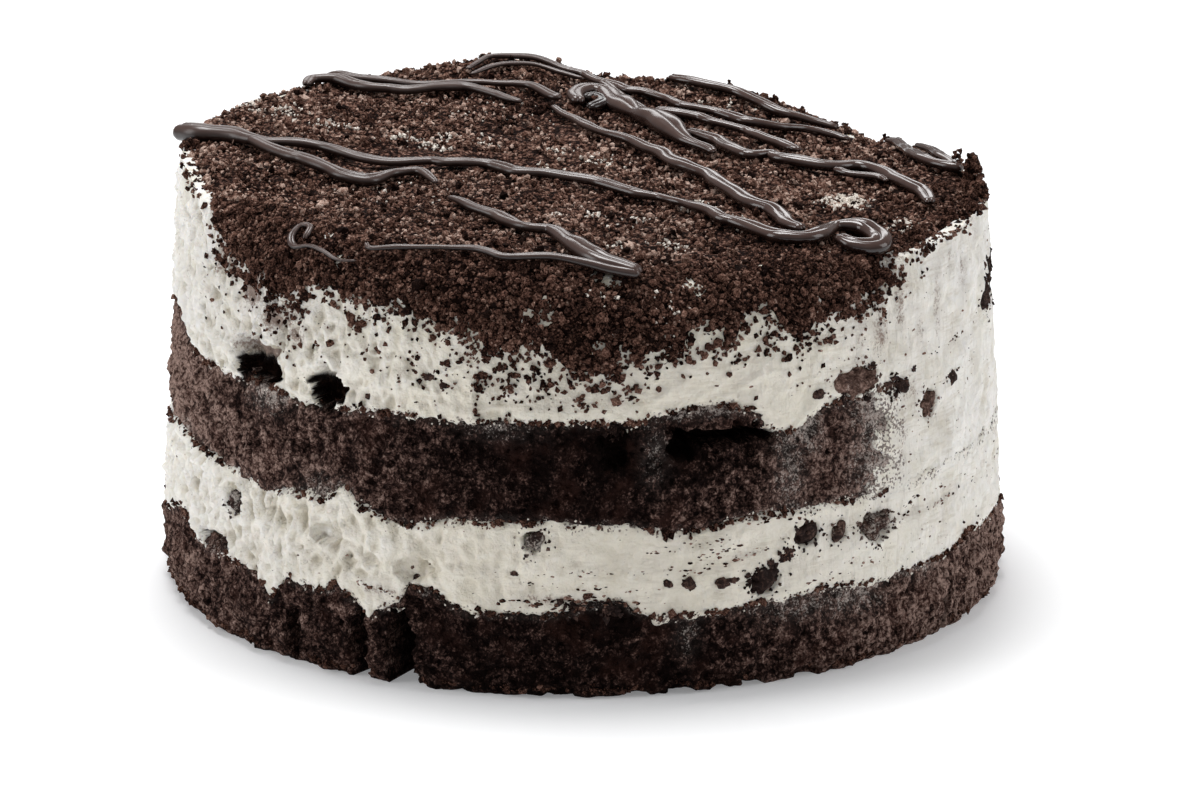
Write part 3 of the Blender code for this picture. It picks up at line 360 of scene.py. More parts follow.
# Single small pieces of cookie: angle, height, width in mm
SMALL_PIECES = (
    (11.3, 24.2, 2.6), (13.9, 24, 3.4), (18.4, 23.4, 2.6), (19.8, 23.9, 1.8), (-8.6, 26.4, 1.6),
    (48.2, 57.4, 4.6), (60.4, 54.8, 4.2), (80.5, 68.9, 2.6), (75.6, 64.6, 2.4), (79, 72.5, 2.2),
    (45.5, 58.4, 2.6), (50.5, 60.5, 2.2), (33, 60, 2.4), (-61.5, 19, 2.6), (-29.5, 60.2, 1.6),
    (41.5, 56.4, 2.4), (-20.3, 65.8, 2.6), (-18.2, 64.6, 1.8), (-23, 25, 1), (103, 58, 2.6), (135, 62, 3),
    (-178, 64, 2.8), (-96, 66, 2.4),
)
# Height of the crumbs along the foot
FOOT_LINE = 1.3 * MM

# Studio: each light's name, size, power and place, in metres and watts
LIGHTS = (
    ("overhead", (0.55, 0.45), 10.5, (-0.08, 0.22, 1.05)),
    ("left_box", (0.6, 0.8), 4.9, (-1.05, -0.25, 0.55)),
    ("right_box", (0.6, 0.8), 3.9, (1.05, -0.15, 0.55)),
    ("back_box", (0.8, 0.3), 2.6, (0.0, 1.2, 0.65)),
    ("front_fill", (1.4, 0.8), 0.6, (0.0, -1.5, 0.9)),
)
LIGHT_TARGET = (0.0, 0.0, 0.05)
SKY_STRENGTH = 0.21
FLOOR_REACH = 4.0
SENSOR_WIDTH = 36.0
LENS = 149.6
CAMERA_TARGET = (0.00375, 0.0, 0.0373)
CAMERA_ELEVATION = 16.0
CAMERA_DISTANCE = 1.1

# Degrees in a radian, rounded as in the solids' ripples, and the numbers that mix a cell's hash
RADIAN = 57.3
HASH_FACTORS = (374761393, 668265263, 1440662683)
HASH_SEED = 974634777
HASH_MIX = 1274126177


def smooth_step(value):
    value = np.clip(value, 0.0, 1.0)
    return value * value * (3.0 - 2.0 * value)


def angle_apart(angle, other):
    return (angle - other + 180.0) % 360.0 - 180.0


def around(angle, radius, height):
    """Points at an angle, radius and height."""
    turn = np.radians(angle)
    return np.stack(np.broadcast_arrays(radius * np.sin(turn), -radius * np.cos(turn), height), -1)


def angle_of(points):
    return np.degrees(np.arctan2(points[..., 0], -points[..., 1]))


def by_angle(pairs):
    """A function of the angle that joins (angle, value) pairs."""
    angles, values = zip(*pairs)
    return lambda angle: np.interp(angle, angles, values)


airy_at = by_angle(AIRY)
streaky_at = by_angle(STREAKY)
pale_at = by_angle(PALE)


def solid_noise(points):
    """The noise that shapes the solids."""
    points = np.asarray(points, float)
    values = [noise.noise(point) for point in points.reshape(-1, 3).tolist()]
    return np.array(values).reshape(points.shape[:-1])


def ripple(angle, size, seed):
    """Smooth noise that closes on itself round the cake; size is the length of a wave in degrees."""
    turn = np.radians(angle)
    reach = RADIAN / size
    level = seed * 1.7 + 0 * turn
    return solid_noise(np.stack([np.cos(turn) * reach + seed, np.sin(turn) * reach, level], -1))


def hashed(cell, seed):
    """A repeatable whole number for each whole-number cell."""
    mixed = (cell * HASH_FACTORS).sum(-1) + seed * HASH_SEED
    mixed = (mixed ^ (mixed >> 13)) * HASH_MIX
    return (mixed ^ (mixed >> 16)) & 0x7FFFFFFF


GRADIENTS = np.random.default_rng(7).normal(size=(64, 3))
GRADIENTS /= np.linalg.norm(GRADIENTS, axis=1)[:, None]


def lumps(points, size, seed):
    """Smooth noise from about -1 to 1; size is the length of a wave, in all or in each direction."""
    spot = np.asarray(points) / size
    cell = np.floor(spot).astype(np.int64)
    inside = spot - cell
    fade = inside ** 3 * (inside * (inside * 6 - 15) + 10)
    total = np.zeros(spot.shape[:-1])
    for corner in itertools.product((0, 1), repeat=3):
        corner = np.array(corner)
        gradient = GRADIENTS[hashed(cell + corner, seed) % len(GRADIENTS)]
        weight = np.prod(np.where(corner, fade, 1 - fade), axis=-1)
        total += weight * (gradient * (inside - corner)).sum(-1)
    return total * 1.6


def bubbles(points, size, seed):
    """Distance to the nearest of scattered points, in sizes: 0 at a point and about 0.5 between them."""
    spot = np.asarray(points) / size
    cell = np.floor(spot).astype(np.int64)
    nearest = np.full(spot.shape[:-1], 9.0)
    for step in itertools.product((-1, 0, 1), repeat=3):
        there = cell + np.array(step)
        centre = np.stack([hashed(there, seed + axis) % 1024 / 1024.0 for axis in range(3)], -1)
        nearest = np.minimum(nearest, np.linalg.norm(there + centre - spot, axis=-1))
    return nearest


# Outline, seams and topping at every angle

FINE_ANGLES = np.arange(-180.0, 180.0, 0.25)


def table(values):
    """A function of the angle from its values at the fine angles."""
    return lambda angle: np.interp(angle, FINE_ANGLES, values, period=360.0)


def with_waves(height, waves):
    """Adds local rises and dips to the heights at the fine angles."""
    for centre, width, rise in waves:
        height = height + rise * MM * np.exp(-(angle_apart(FINE_ANGLES, centre) / width) ** 2)
    return height


def seam(mean, waves, seed):
    return table(with_waves(mean + 0.9 * MM * ripple(FINE_ANGLES, 9.0, seed), waves))


uneven = table(0.6 * MM * ripple(FINE_ANGLES, 50.0, 3.0))


def wall_radius(angle, height):
    above = np.maximum(height - WIDEST_HEIGHT, 0.0)
    below = np.maximum(WIDEST_HEIGHT - height, 0.0)
    return WALL_RADIUS - WALL_LEAN * above - FOOT_TUCK * below + uneven(angle)


seam_low = seam(SEAM_LOW, LOW_WAVES, 11.0)
seam_mid = seam(SEAM_MID, MID_WAVES, 12.0)
seam_high = seam(SEAM_HIGH, HIGH_WAVES, 13.0)


def top_height(points):
    """Height of the topping's smooth surface at points on the plan."""
    x, y = points[..., 0], points[..., 1]
    away = np.hypot(x - SUNK_CORNER[0], y - SUNK_CORNER[1])
    wave = solid_noise(np.stack([x / (26 * MM), y / (26 * MM), np.full_like(x, 4.0)], -1))
    sunk = SUNK_DEPTH * np.exp(-(away / SUNK_SIZE) ** 2)
    for middle_x, middle_y, width, rise in MOUNDS:
        away = np.hypot(x - middle_x * MM, y - middle_y * MM)
        sunk = sunk - rise * MM * np.exp(-(away / (width * MM)) ** 2)
    return TOP_MIDDLE + TILT_RIGHT * x + TILT_BACK * y - sunk + 1.1 * MM * wave


def topping_outline():
    """By angle: how much of a front drape there is, the shoulder's run, radius and height, and the edge."""
    first, last = FRONT_DRAPE_SPAN
    front = (smooth_step((FINE_ANGLES - first) / DRAPE_FADE + 0.5)
             * smooth_step((last - FINE_ANGLES) / DRAPE_FADE + 0.5))
    run = SHOULDER_BACK + (SHOULDER_FRONT - SHOULDER_BACK) * front
    drop = by_angle(EDGE_DROP)(FINE_ANGLES) * MM
    radius = wall_radius(FINE_ANGLES, TOP_MIDDLE) + CRUMB_PROUD - run
    height = top_height(around(FINE_ANGLES, radius, 0.0))
    edge = height - drop - FRONT_DRAPE * front + 1.2 * MM * ripple(FINE_ANGLES, 7.0, 21.0)
    edge = np.minimum(with_waves(edge, EDGE_WAVES), height - drop)
    return [table(values) for values in (front, run, radius, height, edge)]


front_of, shoulder_run, shoulder_radius, shoulder_height, crumb_edge = topping_outline()


def drape(angle, share, depth):
    """Radius and height on the drape at a depth under its skin; share is 0 at its edge and 1 on top."""
    edge = crumb_edge(angle)
    drop = shoulder_height(angle) - edge
    turn = share * math.pi / 2
    out = np.cos(turn) / shoulder_run(angle)
    up = np.sin(turn) / drop
    length = np.hypot(out, up)
    reach = wall_radius(angle, edge) + CRUMB_PROUD - shoulder_radius(angle)
    radius = shoulder_radius(angle) + reach * np.cos(turn) - depth * out / length
    return radius, edge + drop * np.sin(turn) - depth * up / length


def coat_inside(angle):
    """How far inside the ice cream coat of the right side an angle is, in metres; outside it is below 0."""
    return np.radians(np.minimum(angle_apart(angle, COAT_START), angle_apart(COAT_END, angle))) * WALL_RADIUS


def ragged(points):
    """The crumbly wander of every seam, wider where the ice cream is airy."""
    wander = 0.55 * MM * lumps(points, 3.4 * MM, 61) + 0.62 * MM * lumps(points, 1.5 * MM, 62)
    return wander * (1.05 + 0.55 * airy_at(angle_of(points)))


def in_lower_ice_cream(angle, height):
    """How far a point of the wall is inside the lower ice cream, in metres."""
    return np.minimum(height - seam_low(angle), seam_mid(angle) - height)


def in_upper_ice_cream(angle, height):
    points = around(angle, WALL_RADIUS, height)
    wander = 5.5 * MM * lumps(points, 9.0 * MM, 63) + 3.6 * MM * lumps(points, 3.2 * MM, 64)
    above = height - seam_high(angle)
    coat = np.minimum(coat_inside(angle) + wander, height - seam_mid(angle) + 1.0)
    return np.maximum(above, coat)


# Meshes

def new_mesh(name, points, faces, smooth=True):
    """A mesh from points and arrays of faces with three or four corners."""
    mesh = bpy.data.meshes.new(name)
    points = np.asarray(points, np.float32).reshape(-1, 3)
    mesh.vertices.add(len(points))
    mesh.vertices.foreach_set("co", points.ravel())
    corners = np.concatenate([part.ravel() for part in faces]).astype(np.int32)
    sizes = np.concatenate([np.full(len(part), part.shape[1]) for part in faces])
    mesh.loops.add(len(corners))
    mesh.loops.foreach_set("vertex_index", corners)
    mesh.polygons.add(len(sizes))
    mesh.polygons.foreach_set("loop_start", (np.cumsum(sizes) - sizes).astype(np.int32))
    mesh.update(calc_edges=True)
    mesh.validate()
    mesh.polygons.foreach_set("use_smooth", np.full(len(sizes), smooth))
    return mesh


def store(mesh, **values):
    """Keeps a number for every vertex, for the material to read."""
    for name, numbers in values.items():
        attribute = mesh.attributes.new(name, "FLOAT", "POINT")
        attribute.data.foreach_set("value", np.asarray(numbers, np.float32).ravel())


def add_piece(name, mesh, surface, slot, *nodes):
    """Puts a finished piece in the scene, in place of its solids."""
    mesh.materials.clear()
    mesh.materials.append(surface)
    piece = bpy.data.objects.new(name, mesh)
    bpy.context.scene.collection.objects.link(piece)
    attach(piece, "root")
    if nodes:
        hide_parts(*nodes)
    return piece


def grid_faces(rows, columns):
    """Quads between the rows of a grid that closes on itself, and fans to a point at either end."""
    here = np.arange(columns)
    beside = (here + 1) % columns
    row = np.arange(rows - 1)[:, None] * columns
    quads = np.stack([row + here, row + beside, row + beside + columns, row + here + columns], -1)
    last_row = (rows - 1) * columns
    foot = np.stack([beside, here, np.full(columns, rows * columns)], -1)
    head = np.stack([here + last_row, beside + last_row, np.full(columns, rows * columns + 1)], -1)
    return [quads.reshape(-1, 4), foot, head]


def closed_grid(name, points, **values):
    """A closed mesh from rows of points round the cake, with a value per point kept for the material."""
    rows, columns = points.shape[:2]
    ends = [points[0].mean(0) * (0, 0, 1), points[-1].mean(0) * (0, 0, 1)]
    mesh = new_mesh(name, np.concatenate([points.reshape(-1, 3), ends]), grid_faces(rows, columns))
    for key, numbers in values.items():
        numbers = np.broadcast_to(numbers, (rows, columns)).ravel()
        store(mesh, **{key: np.concatenate([numbers, [0.0, 0.0]])})
    return mesh


def from_middle(angle, height, centre, level, width, tall):
    """How far a point of the wall is from the middle of an oval, across and up, in halves of its size."""
    across = np.radians(angle_apart(angle, centre)) * WALL_RADIUS / (width * MM / 2)
    return across, (height - level * MM) / (tall * MM / 2)


def hollows_at(angle, height, points, node, seed):
    """Depth of a layer's hollows at each point, and the painted shade inside the deep ones, from 0 to 1."""
    in_cream = node.startswith("ice_cream")
    wander = 0.30 * lumps(points, 2.6 * MM, seed) + 0.22 * lumps(points, 1.3 * MM, seed + 1)
    depth = np.zeros(angle.shape)
    painted_shade = np.zeros(angle.shape)
    pockets = [(turn, level, width * POCKET_SHARE, tall * POCKET_SHARE, POCKET_DEPTH)
               for turn, level, width, tall in COOKIE_PLACES]
    for *place, deep in [*HOLLOWS[node], *pockets]:
        across, up = from_middle(angle, height, *place)
        away = np.hypot(across, up) + wander
        rim = SHALLOW_RIM if deep <= DEEP else CREAM_RIM if in_cream else SPONGE_RIM
        depth += deep * MM * smooth_step((1.08 - away) / rim)
        if deep > DEEP:
            dark = smooth_step((1.16 - away) / 0.22)
            if in_cream:
                ceiling = 0.55 if place[2] > WIDE_HOLLOW else 0.95
                dark = dark * smooth_step((ceiling - up) / 0.9)
            painted_shade = np.maximum(painted_shade, dark)
    return depth, painted_shade


def patches_at(angle, height, places):
    """How strongly a point lies in any of the soft patches."""
    strength = np.zeros(angle.shape)
    for *place, strong in places:
        across, up = from_middle(angle, height, *place)
        strength = np.maximum(strength, strong * np.exp(-(across ** 2 + up ** 2) * 0.7))
    return strength


def crag(points, depth, size, seed):
    """The solids' own rough relief."""
    spot = points / size
    spot[..., 2] += seed
    return depth * (solid_noise(spot) + 0.5 * solid_noise(spot * 2.3))


def wall_angles(rows):
    """The angle of each column; they lie closest together at the front."""
    share = np.arange(COLUMNS) / COLUMNS
    angle = -180.0 + 360.0 * (share + FRONT_FINER * np.sin(math.tau * share) / math.tau)
    return np.broadcast_to(angle, (rows, COLUMNS))


def wall_heights(foot, top, rows):
    return foot + (top - foot) * np.linspace(0.0, 1.0, rows)[:, None]


def capped(points):
    """Adds a row at each end that runs in towards the middle."""
    def inner(row):
        flat = row * (1.0, 1.0, 0.0)
        scale = 1.0 - LEDGE / np.linalg.norm(flat, axis=-1, keepdims=True)
        return (flat * scale + row * (0.0, 0.0, 1.0))[None]
    return np.concatenate([inner(points[0]), points, inner(points[-1])])


def with_ends(values):
    return np.concatenate([values[:1], values, values[-1:]])


def add_wall(name, points, values, surface, slot, node):
    """A layer's piece, from the rows of its capped wall and what its material reads at each point."""
    mesh = closed_grid(name, points, **{key: with_ends(value) for key, value in values.items()})
    return add_piece(name, mesh, surface, slot, node)


def calm(inside, least, reach):
    """Fades relief towards a seam."""
    return least + (1.0 - least) * smooth_step(inside / (reach * MM))


def tuck(inside):
    """Draws a wall in where it runs on behind its neighbour; inside is below 0 there."""
    return np.clip(inside * 1.2, -TUCK_DEPTH, 0.0)


def sponge_relief(points, seed):
    """Open crumb: lumps, and pores of two sizes."""
    pores = smooth_step((0.42 - bubbles(points, 2.3 * MM, seed)) / 0.42)
    small_pores = smooth_step((0.45 - bubbles(points, 1.3 * MM, seed + 5)) / 0.45)
    relief = 0.50 * lumps(points, 2.8 * MM, seed + 10) + 0.42 * lumps(points, 1.35 * MM, seed + 11)
    return (0.34 + 1.30 * relief - 1.1 * pores - 0.6 * small_pores) * MM


def make_sponge(name, node, rows, seed, relief, light, foot, top, inside_of):
    """One sponge layer between its foot and its top; inside_of says how far inside it a point is."""
    angle = wall_angles(rows)
    height = wall_heights(foot(angle[0]), top(angle[0]), rows)
    points = around(angle, WALL_RADIUS, height)
    inside = inside_of(angle, height, points)
    depth, hollow = hollows_at(angle, height, points, node, seed)
    fine = sponge_relief(points, seed)
    rough = (crag(points, *relief) + fine) * calm(inside, 0.45, 2.4) * calm(height, 0.75, 4.0)
    radius = wall_radius(angle, height) + rough + tuck(inside) - depth
    radius -= FOOT_ROUNDING * np.exp(-height / MM)
    frost = patches_at(angle, height, FROST) + 0.32 * smooth_step(1.0 - inside / (1.8 * MM))
    if node == "sponge_upper":
        frost = np.maximum(frost, 0.9 * smooth_step(1.0 + coat_inside(angle) / (15.0 * MM)))
    # light is the painted light and shade by angle, less in the darker and shaded patches
    values = dict(light=by_angle(light)(angle) - patches_at(angle, height, DARK_AND_SHADED), frost=frost, hollow=hollow,
                  # relief is the fine relief, which the material turns into painted shade in the pores
                  relief=fine / MM, streaky=streaky_at(angle))
    return add_wall(name, capped(around(angle, radius, height)), values, SPONGE, "sponge", node)


def ice_cream_relief(angle, points):
    """Airy pits and ridges on the left, fine upright streaks on the right; also how deep the pits are."""
    airy = airy_at(angle)
    seed = CREAM_SEED
    bent = points + 1.6 * MM * np.stack([lumps(points, 6 * MM, seed + i) for i in range(3)], -1)
    stretched = bent * (1.0, 1.0, 0.62)
    pits = smooth_step((0.40 - bubbles(stretched, 3.9 * MM, seed + 3)) / 0.22)
    small_pits = smooth_step((0.40 - bubbles(stretched, 2.1 * MM, seed + 4)) / 0.24)
    ridges = 0.7 - np.abs(lumps(stretched, 4.0 * MM, seed + 5)) * 1.6
    ridges -= np.abs(lumps(stretched, 1.9 * MM, seed + 11)) * 1.1
    folds = lumps(points * (1.0, 1.0, 1.9), 11 * MM, seed + 6)
    streaks = lumps(points, np.array((0.9, 0.9, 9.0)) * MM, seed + 7)
    streaks += 0.7 * lumps(points, np.array((1.7, 1.7, 16.0)) * MM, seed + 8)
    dents = lumps(bent * (1.0, 1.0, 1.5), 4.4 * MM, seed + 10)
    relief = airy * (1.35 * ridges - 1.4 * pits - 0.85 * small_pits) + 0.24 * streaky_at(angle) * streaks
    relief = relief + 0.40 * folds
    relief += 0.42 * dents + (0.20 + 0.20 * airy) * lumps(points, 1.6 * MM, seed + 9)
    return relief * MM, airy * np.maximum(pits, 0.6 * small_pits)


def lip(inside, joined):
    """The ice cream's rounded edge; where two ice creams meet they stay flush."""
    rounded = LIP_HEIGHT * smooth_step(inside / (1.4 * MM)) + tuck(inside)
    flush = LIP_HEIGHT + np.clip((inside + 1.2 * MM) * 1.5, -TUCK_DEPTH, 0.0)
    return rounded + (flush - rounded) * joined


def cream_values(angle, height, fine, **values):
    """What the ice cream's material reads at each point of a wall."""
    # low is how deep a point lies in the fine relief, for painted shade in the dips and painted highlight on
    # the ridges
    return dict(values, airy=airy_at(angle), streaky=streaky_at(angle), low=-fine / MM,
                smear_and_shade=patches_at(angle, height, SMEARS_AND_SHADE))


def make_lower_ice_cream():
    rows = 44
    angle = wall_angles(rows)
    low, high = seam_low(angle), seam_mid(angle)
    height = wall_heights(low[0] - CREAM_OVERLAP, high[0] + CREAM_OVERLAP, rows)
    points = around(angle, WALL_RADIUS, height)
    inside = in_lower_ice_cream(angle, height) + ragged(points)
    coated = smooth_step(coat_inside(angle) / COAT_FADE) * (height > (low + high) / 2)
    depth, hollow = hollows_at(angle, height, points, "ice_cream_lower", 31)
    fine, pits = ice_cream_relief(angle, points)
    radius = wall_radius(angle, height) + crag(points, *CRAG_LOWER_CREAM)
    radius += fine * np.maximum(calm(inside, 0.35, 2.5), coated) + lip(inside, coated) - depth
    values = cream_values(angle, height, fine, pits=pits, hollow=hollow, pale=pale_at(angle) * 0.85,
                          edge=smooth_step(1.0 - inside / (EDGE_DUST * MM)))
    points = capped(around(angle, radius, height))
    return add_wall("lower_ice_cream", points, values, ICE_CREAM, "ice_cream", "ice_cream_lower")


def make_upper_ice_cream():
    """The wall and coat up to the crumb edge, then on under the crumbs."""
    rows, drape_rows = 72, 12
    angle = wall_angles(rows)
    top = crumb_edge(angle)
    reach = smooth_step((coat_inside(angle[0]) + 16 * MM) / (8 * MM))
    foot = seam_high(angle[0]) + (seam_mid(angle[0]) + 1.2 * MM - seam_high(angle[0])) * reach - CREAM_OVERLAP
    height = wall_heights(foot, top[0], rows)
    points = around(angle, WALL_RADIUS, height)
    inside = in_upper_ice_cream(angle, height) + ragged(points)
    coated = smooth_step(coat_inside(angle) / COAT_FADE) * (height < seam_high(angle))
    depth, hollow = hollows_at(angle, height, points, "ice_cream_upper", 33)
    fine, pits = ice_cream_relief(angle, points)
    radius = wall_radius(angle, height) + crag(points, *CRAG_UPPER_CREAM)
    edge_fade = 0.35 + 0.65 * smooth_step((top - height) / (5 * MM))
    soft = np.maximum(calm(inside, 0.35, 2.5), coated)
    radius += (fine * soft + lip(inside, coated)) * edge_fade - depth

    border = smooth_step(1.2 - np.abs(coat_inside(angle) - 2.0 * MM) / (9 * MM))
    border = border * (height < seam_high(angle) + 2.0 * MM)
    edge = smooth_step(1.0 - inside / ((EDGE_DUST + 6.5 * border) * MM)) * (1.0 + 0.7 * border)
    values = cream_values(angle, height, fine, pits=pits, hollow=hollow, pale=pale_at(angle), edge=edge)
    values = {key: np.concatenate([value, np.repeat(value[-1:], drape_rows, 0)])
              for key, value in values.items()}

    share = np.linspace(0.0, 0.9, drape_rows + 1)[1:, None] * np.ones(COLUMNS)
    drape_radius, drape_level = drape(angle[:drape_rows], share, CRUMB_PROUD + 0.3 * MM * share)
    offset = (radius[-1] - drape(angle[0], 0.0, CRUMB_PROUD)[0]) * (1.0 - share) ** 2
    radius = np.concatenate([radius, drape_radius + offset])
    height = np.concatenate([height, drape_level])
    points = capped(around(wall_angles(rows + drape_rows), radius, height))
    points[-1, :, 2] = np.minimum(points[-1, :, 2], TOP_MIDDLE) - LID_DEPTH
    return add_wall("upper_ice_cream", points, values, ICE_CREAM, "ice_cream", "ice_cream_upper")


def make_crumb_bed():
    """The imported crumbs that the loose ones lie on."""
    columns, rings, drape_rows = 350, 46, 14
    angle = np.broadcast_to(-180.0 + 360.0 * np.arange(columns) / columns, (rings + drape_rows, columns))
    end = by_angle(BED_END)(angle[0]) + 0.03 * lumps(around(angle[0], WALL_RADIUS, 0.0), 7 * MM, 71)
    share = end + (1.0 - end) * np.linspace(0.0, 1.0, drape_rows)[:, None]
    drop = shoulder_height(angle[0]) - crumb_edge(angle[0])
    above = (np.sin(share * math.pi / 2) - np.sin(share[:1] * math.pi / 2)) * drop
    depth = BED_DEPTH + BED_EDGE_DEPTH * np.exp(-above / (2.0 * MM))
    drape_radius, drape_level = drape(angle[:drape_rows], share, depth)
    top_radius = shoulder_radius(angle[0]) * np.linspace(1.0, 0.02, rings + 1)[1:, None]
    level = top_height(around(angle[:rings], top_radius, 0.0)) - BED_DEPTH
    points = np.concatenate([around(angle[:drape_rows], drape_radius, drape_level),
                             around(angle[:rings], top_radius, level)])
    rise = 1.3 * MM * solid_noise(points / (5.5 * MM)) + 0.65 * MM * lumps(points, 2.3 * MM, 72)
    upwards = np.concatenate([np.linspace(0.1, 1.0, drape_rows), np.ones(rings)])
    outwards = np.concatenate([1.0 - np.linspace(0.0, 1.0, drape_rows), np.zeros(rings)])
    points[..., 2] += rise * upwards[:, None]
    points[..., :2] *= (1.0 + rise * outwards[:, None] * 0.75 / WALL_RADIUS)[..., None]
    # The bed's low shade paints it dark, as painted shade in the gaps between the loose crumbs
    mesh = closed_grid("crumb_bed", np.concatenate([points[:1] - (0, 0, MM), points]), shade=0.16)
    return add_piece("crumb_bed", mesh, PACKED_CRUMB, "crumb", "crumb_topping")


# Scattered things

def unit_ball(subdivisions):
    """Points and faces of a ball of diameter 1; with 0 it has only eight faces."""
    if subdivisions == 0:
        points = np.concatenate([np.eye(3), -np.eye(3)]) * 0.56
        faces = [[0, 1, 2], [1, 3, 2], [3, 4, 2], [4, 0, 2], [1, 0, 5], [3, 1, 5], [4, 3, 5], [0, 4, 5]]
        return points, np.array(faces)
    bm = bmesh.new()
    bmesh.ops.create_icosphere(bm, subdivisions=subdivisions, radius=0.5)
    points = np.array([vert.co for vert in bm.verts])
    faces = np.array([[vert.index for vert in face.verts] for face in bm.faces])
    bm.free()
    return points, faces


def random_turns(rng, count):
    """Rotation matrices."""
    quaternion = rng.normal(size=(count, 4))
    quaternion /= np.linalg.norm(quaternion, axis=1)[:, None]
    w, x, y, z = quaternion.T
    return np.stack([
        np.stack([1 - 2 * (y * y + z * z), 2 * (x * y - z * w), 2 * (x * z + y * w)], -1),
        np.stack([2 * (x * y + z * w), 1 - 2 * (x * x + z * z), 2 * (y * z - x * w)], -1),
        np.stack([2 * (x * z - y * w), 2 * (y * z + x * w), 1 - 2 * (x * x + y * y)], -1)], 1)


def add_grains(name, kind, centres, sizes, rng, rough, subdivisions=0, smooth=False, shades=None,
               frames=None):
    """One piece of rough grains, each of its own shape and shade; frames stretch them along the wall.

    Their kind is their surface, their slot, which is not used, and the node that they are on.
    """
    ball, faces = unit_ball(subdivisions)
    count = len(centres)
    shape = 1.0 + rough * rng.uniform(-1.0, 1.0, (count, len(ball), 1))
    stretch = rng.uniform(0.72, 1.28, (count, 1, 3))
    points = ball * shape * stretch * np.asarray(sizes)[:, None, None]
    points = np.einsum("nij,nkj->nki", random_turns(rng, count), points)
    if frames is not None:
        points = np.einsum("nij,nkj->nki", frames, points)
    points = points + centres[:, None]
    all_faces = faces + (np.arange(count) * len(ball))[:, None, None]
    mesh = new_mesh(name, points, [all_faces.reshape(-1, 3)], smooth)
    if shades is None:
        shades = rng.uniform(0.0, 1.0, count)
    store(mesh, shade=np.repeat(shades, len(ball)))
    return add_piece(name, mesh, *kind)


def scattered(mesh, count, rng, weight=None):
    """Places and normals spread over a mesh, as many on each face as its area and weight say."""
    mesh.calc_loop_triangles()
    corners = np.empty(len(mesh.loop_triangles) * 3, np.int32)
    mesh.loop_triangles.foreach_get("vertices", corners)
    points = np.empty(len(mesh.vertices) * 3)
    mesh.vertices.foreach_get("co", points)
    triangles = points.reshape(-1, 3)[corners.reshape(-1, 3)]
    cross = np.cross(triangles[:, 1] - triangles[:, 0], triangles[:, 2] - triangles[:, 0])
    area = np.linalg.norm(cross, axis=1)
    share = area * (1.0 if weight is None else weight(triangles.mean(1)))
    chosen = rng.choice(len(share), count, p=share / share.sum())
    a, b = rng.uniform(size=(2, count))
    flip = a + b > 1.0
    a[flip], b[flip] = 1.0 - a[flip], 1.0 - b[flip]
    first, second, third = triangles[chosen].transpose(1, 0, 2)
    places = first + (second - first) * a[:, None] + (third - first) * b[:, None]
    return places, cross[chosen] / area[chosen][:, None]


def steep(points):
    """1 on the drape of the topping and 0 on its top."""
    radius = np.hypot(points[:, 0], points[:, 1])
    return smooth_step((radius - shoulder_radius(angle_of(points)) + 2.0 * MM) / (6 * MM))


def on_bed(points):
    """How thickly crumbs lie on each place of the bed."""
    radius = np.hypot(points[:, 0], points[:, 1])
    above = points[:, 2] > crumb_edge(angle_of(points)) - 1.0 * MM
    gathered = 0.25 + smooth_step(0.5 + 1.6 * lumps(points, 2.7 * MM, 85))
    return above * (radius > 1.0 * MM) * (1.0 + 1.1 * steep(points)) * gathered


def near_edge(points):
    """How thickly loose crumbs lie on each place of the upper ice cream."""
    angle = angle_of(points)
    below = crumb_edge(angle) - points[:, 2]
    patchy = smooth_step(0.5 + 1.3 * lumps(points, 6.5 * MM, 81))
    patchy = patchy * smooth_step(0.8 + 1.2 * lumps(points, 2.6 * MM, 82))
    thin = np.exp(-np.maximum(below, 0.0) / (by_angle(CRUMB_REACH)(angle) * MM))
    strewn = patches_at(angle, points[:, 2], CRUMB_PATCHES) * (below > 0)
    return thin * (0.25 + 0.75 * patchy) + 0.35 * (below < 0) + strewn * (0.1 + 0.9 * patchy)


def cover_with_crumbs(bed, ice_cream):
    """Crumbs all over the bed, and loose ones that thin out below its edge."""
    rng = np.random.default_rng(5)
    for name, count, mean, spread, faces in CRUMB_KINDS:
        places, normals = scattered(bed.data, count, rng, on_bed)
        sizes = np.clip(rng.lognormal(math.log(mean), spread, count), 0.55, 2.5) * MM
        sizes *= 1.0 + 0.12 * steep(places) * front_of(angle_of(places))
        places += normals * (rng.uniform(-0.05, 0.55, count) * sizes)[:, None]
        clumped = 0.5 * lumps(places, 6.0 * MM, 83) + 0.5 * lumps(places, 2.6 * MM, 84)
        shades = 0.13 + rng.uniform(0.0, 0.92, count) ** 1.2 + 0.60 * clumped - 0.35 * (sizes / MM - mean)
        # Painted shade on the front drape, which faces away from the lamps
        shades *= 1.0 - 0.45 * steep(places) * front_of(angle_of(places))
        # Painted shadow and darker crumbs at the listed places on the top
        for x, y, reach, dark in DARK_AND_SHADOWED_TOP:
            away = np.hypot(places[:, 0] / MM - x, places[:, 1] / MM - y)
            shades *= 1.0 - dark * np.exp(-(away / reach) ** 2)
        add_grains(name, ON_TOP, places, sizes, rng, rough=0.42, subdivisions=faces, shades=shades)

    for name, count, mean, spread, faces in EDGE_CRUMB_KINDS:
        places, normals = scattered(ice_cream.data, count, rng, near_edge)
        below = crumb_edge(angle_of(places)) - places[:, 2]
        sizes = np.clip(rng.lognormal(math.log(mean), spread, count), 0.45, 2.4) * MM
        sizes *= np.where(below > 3 * MM, 0.8, 1.0)
        places += normals * (rng.uniform(-0.1, 0.25, count) * sizes)[:, None]
        shades = rng.uniform(-0.05, 0.40, count)
        add_grains(name, ON_TOP, places, sizes, rng, rough=0.38, subdivisions=faces, shades=shades)


def surface_tree(piece):
    points = np.empty(len(piece.data.vertices) * 3)
    piece.data.vertices.foreach_get("co", points)
    faces = [tuple(face.vertices) for face in piece.data.polygons]
    return BVHTree.FromPolygons([Vector(point) for point in points.reshape(-1, 3)], faces)


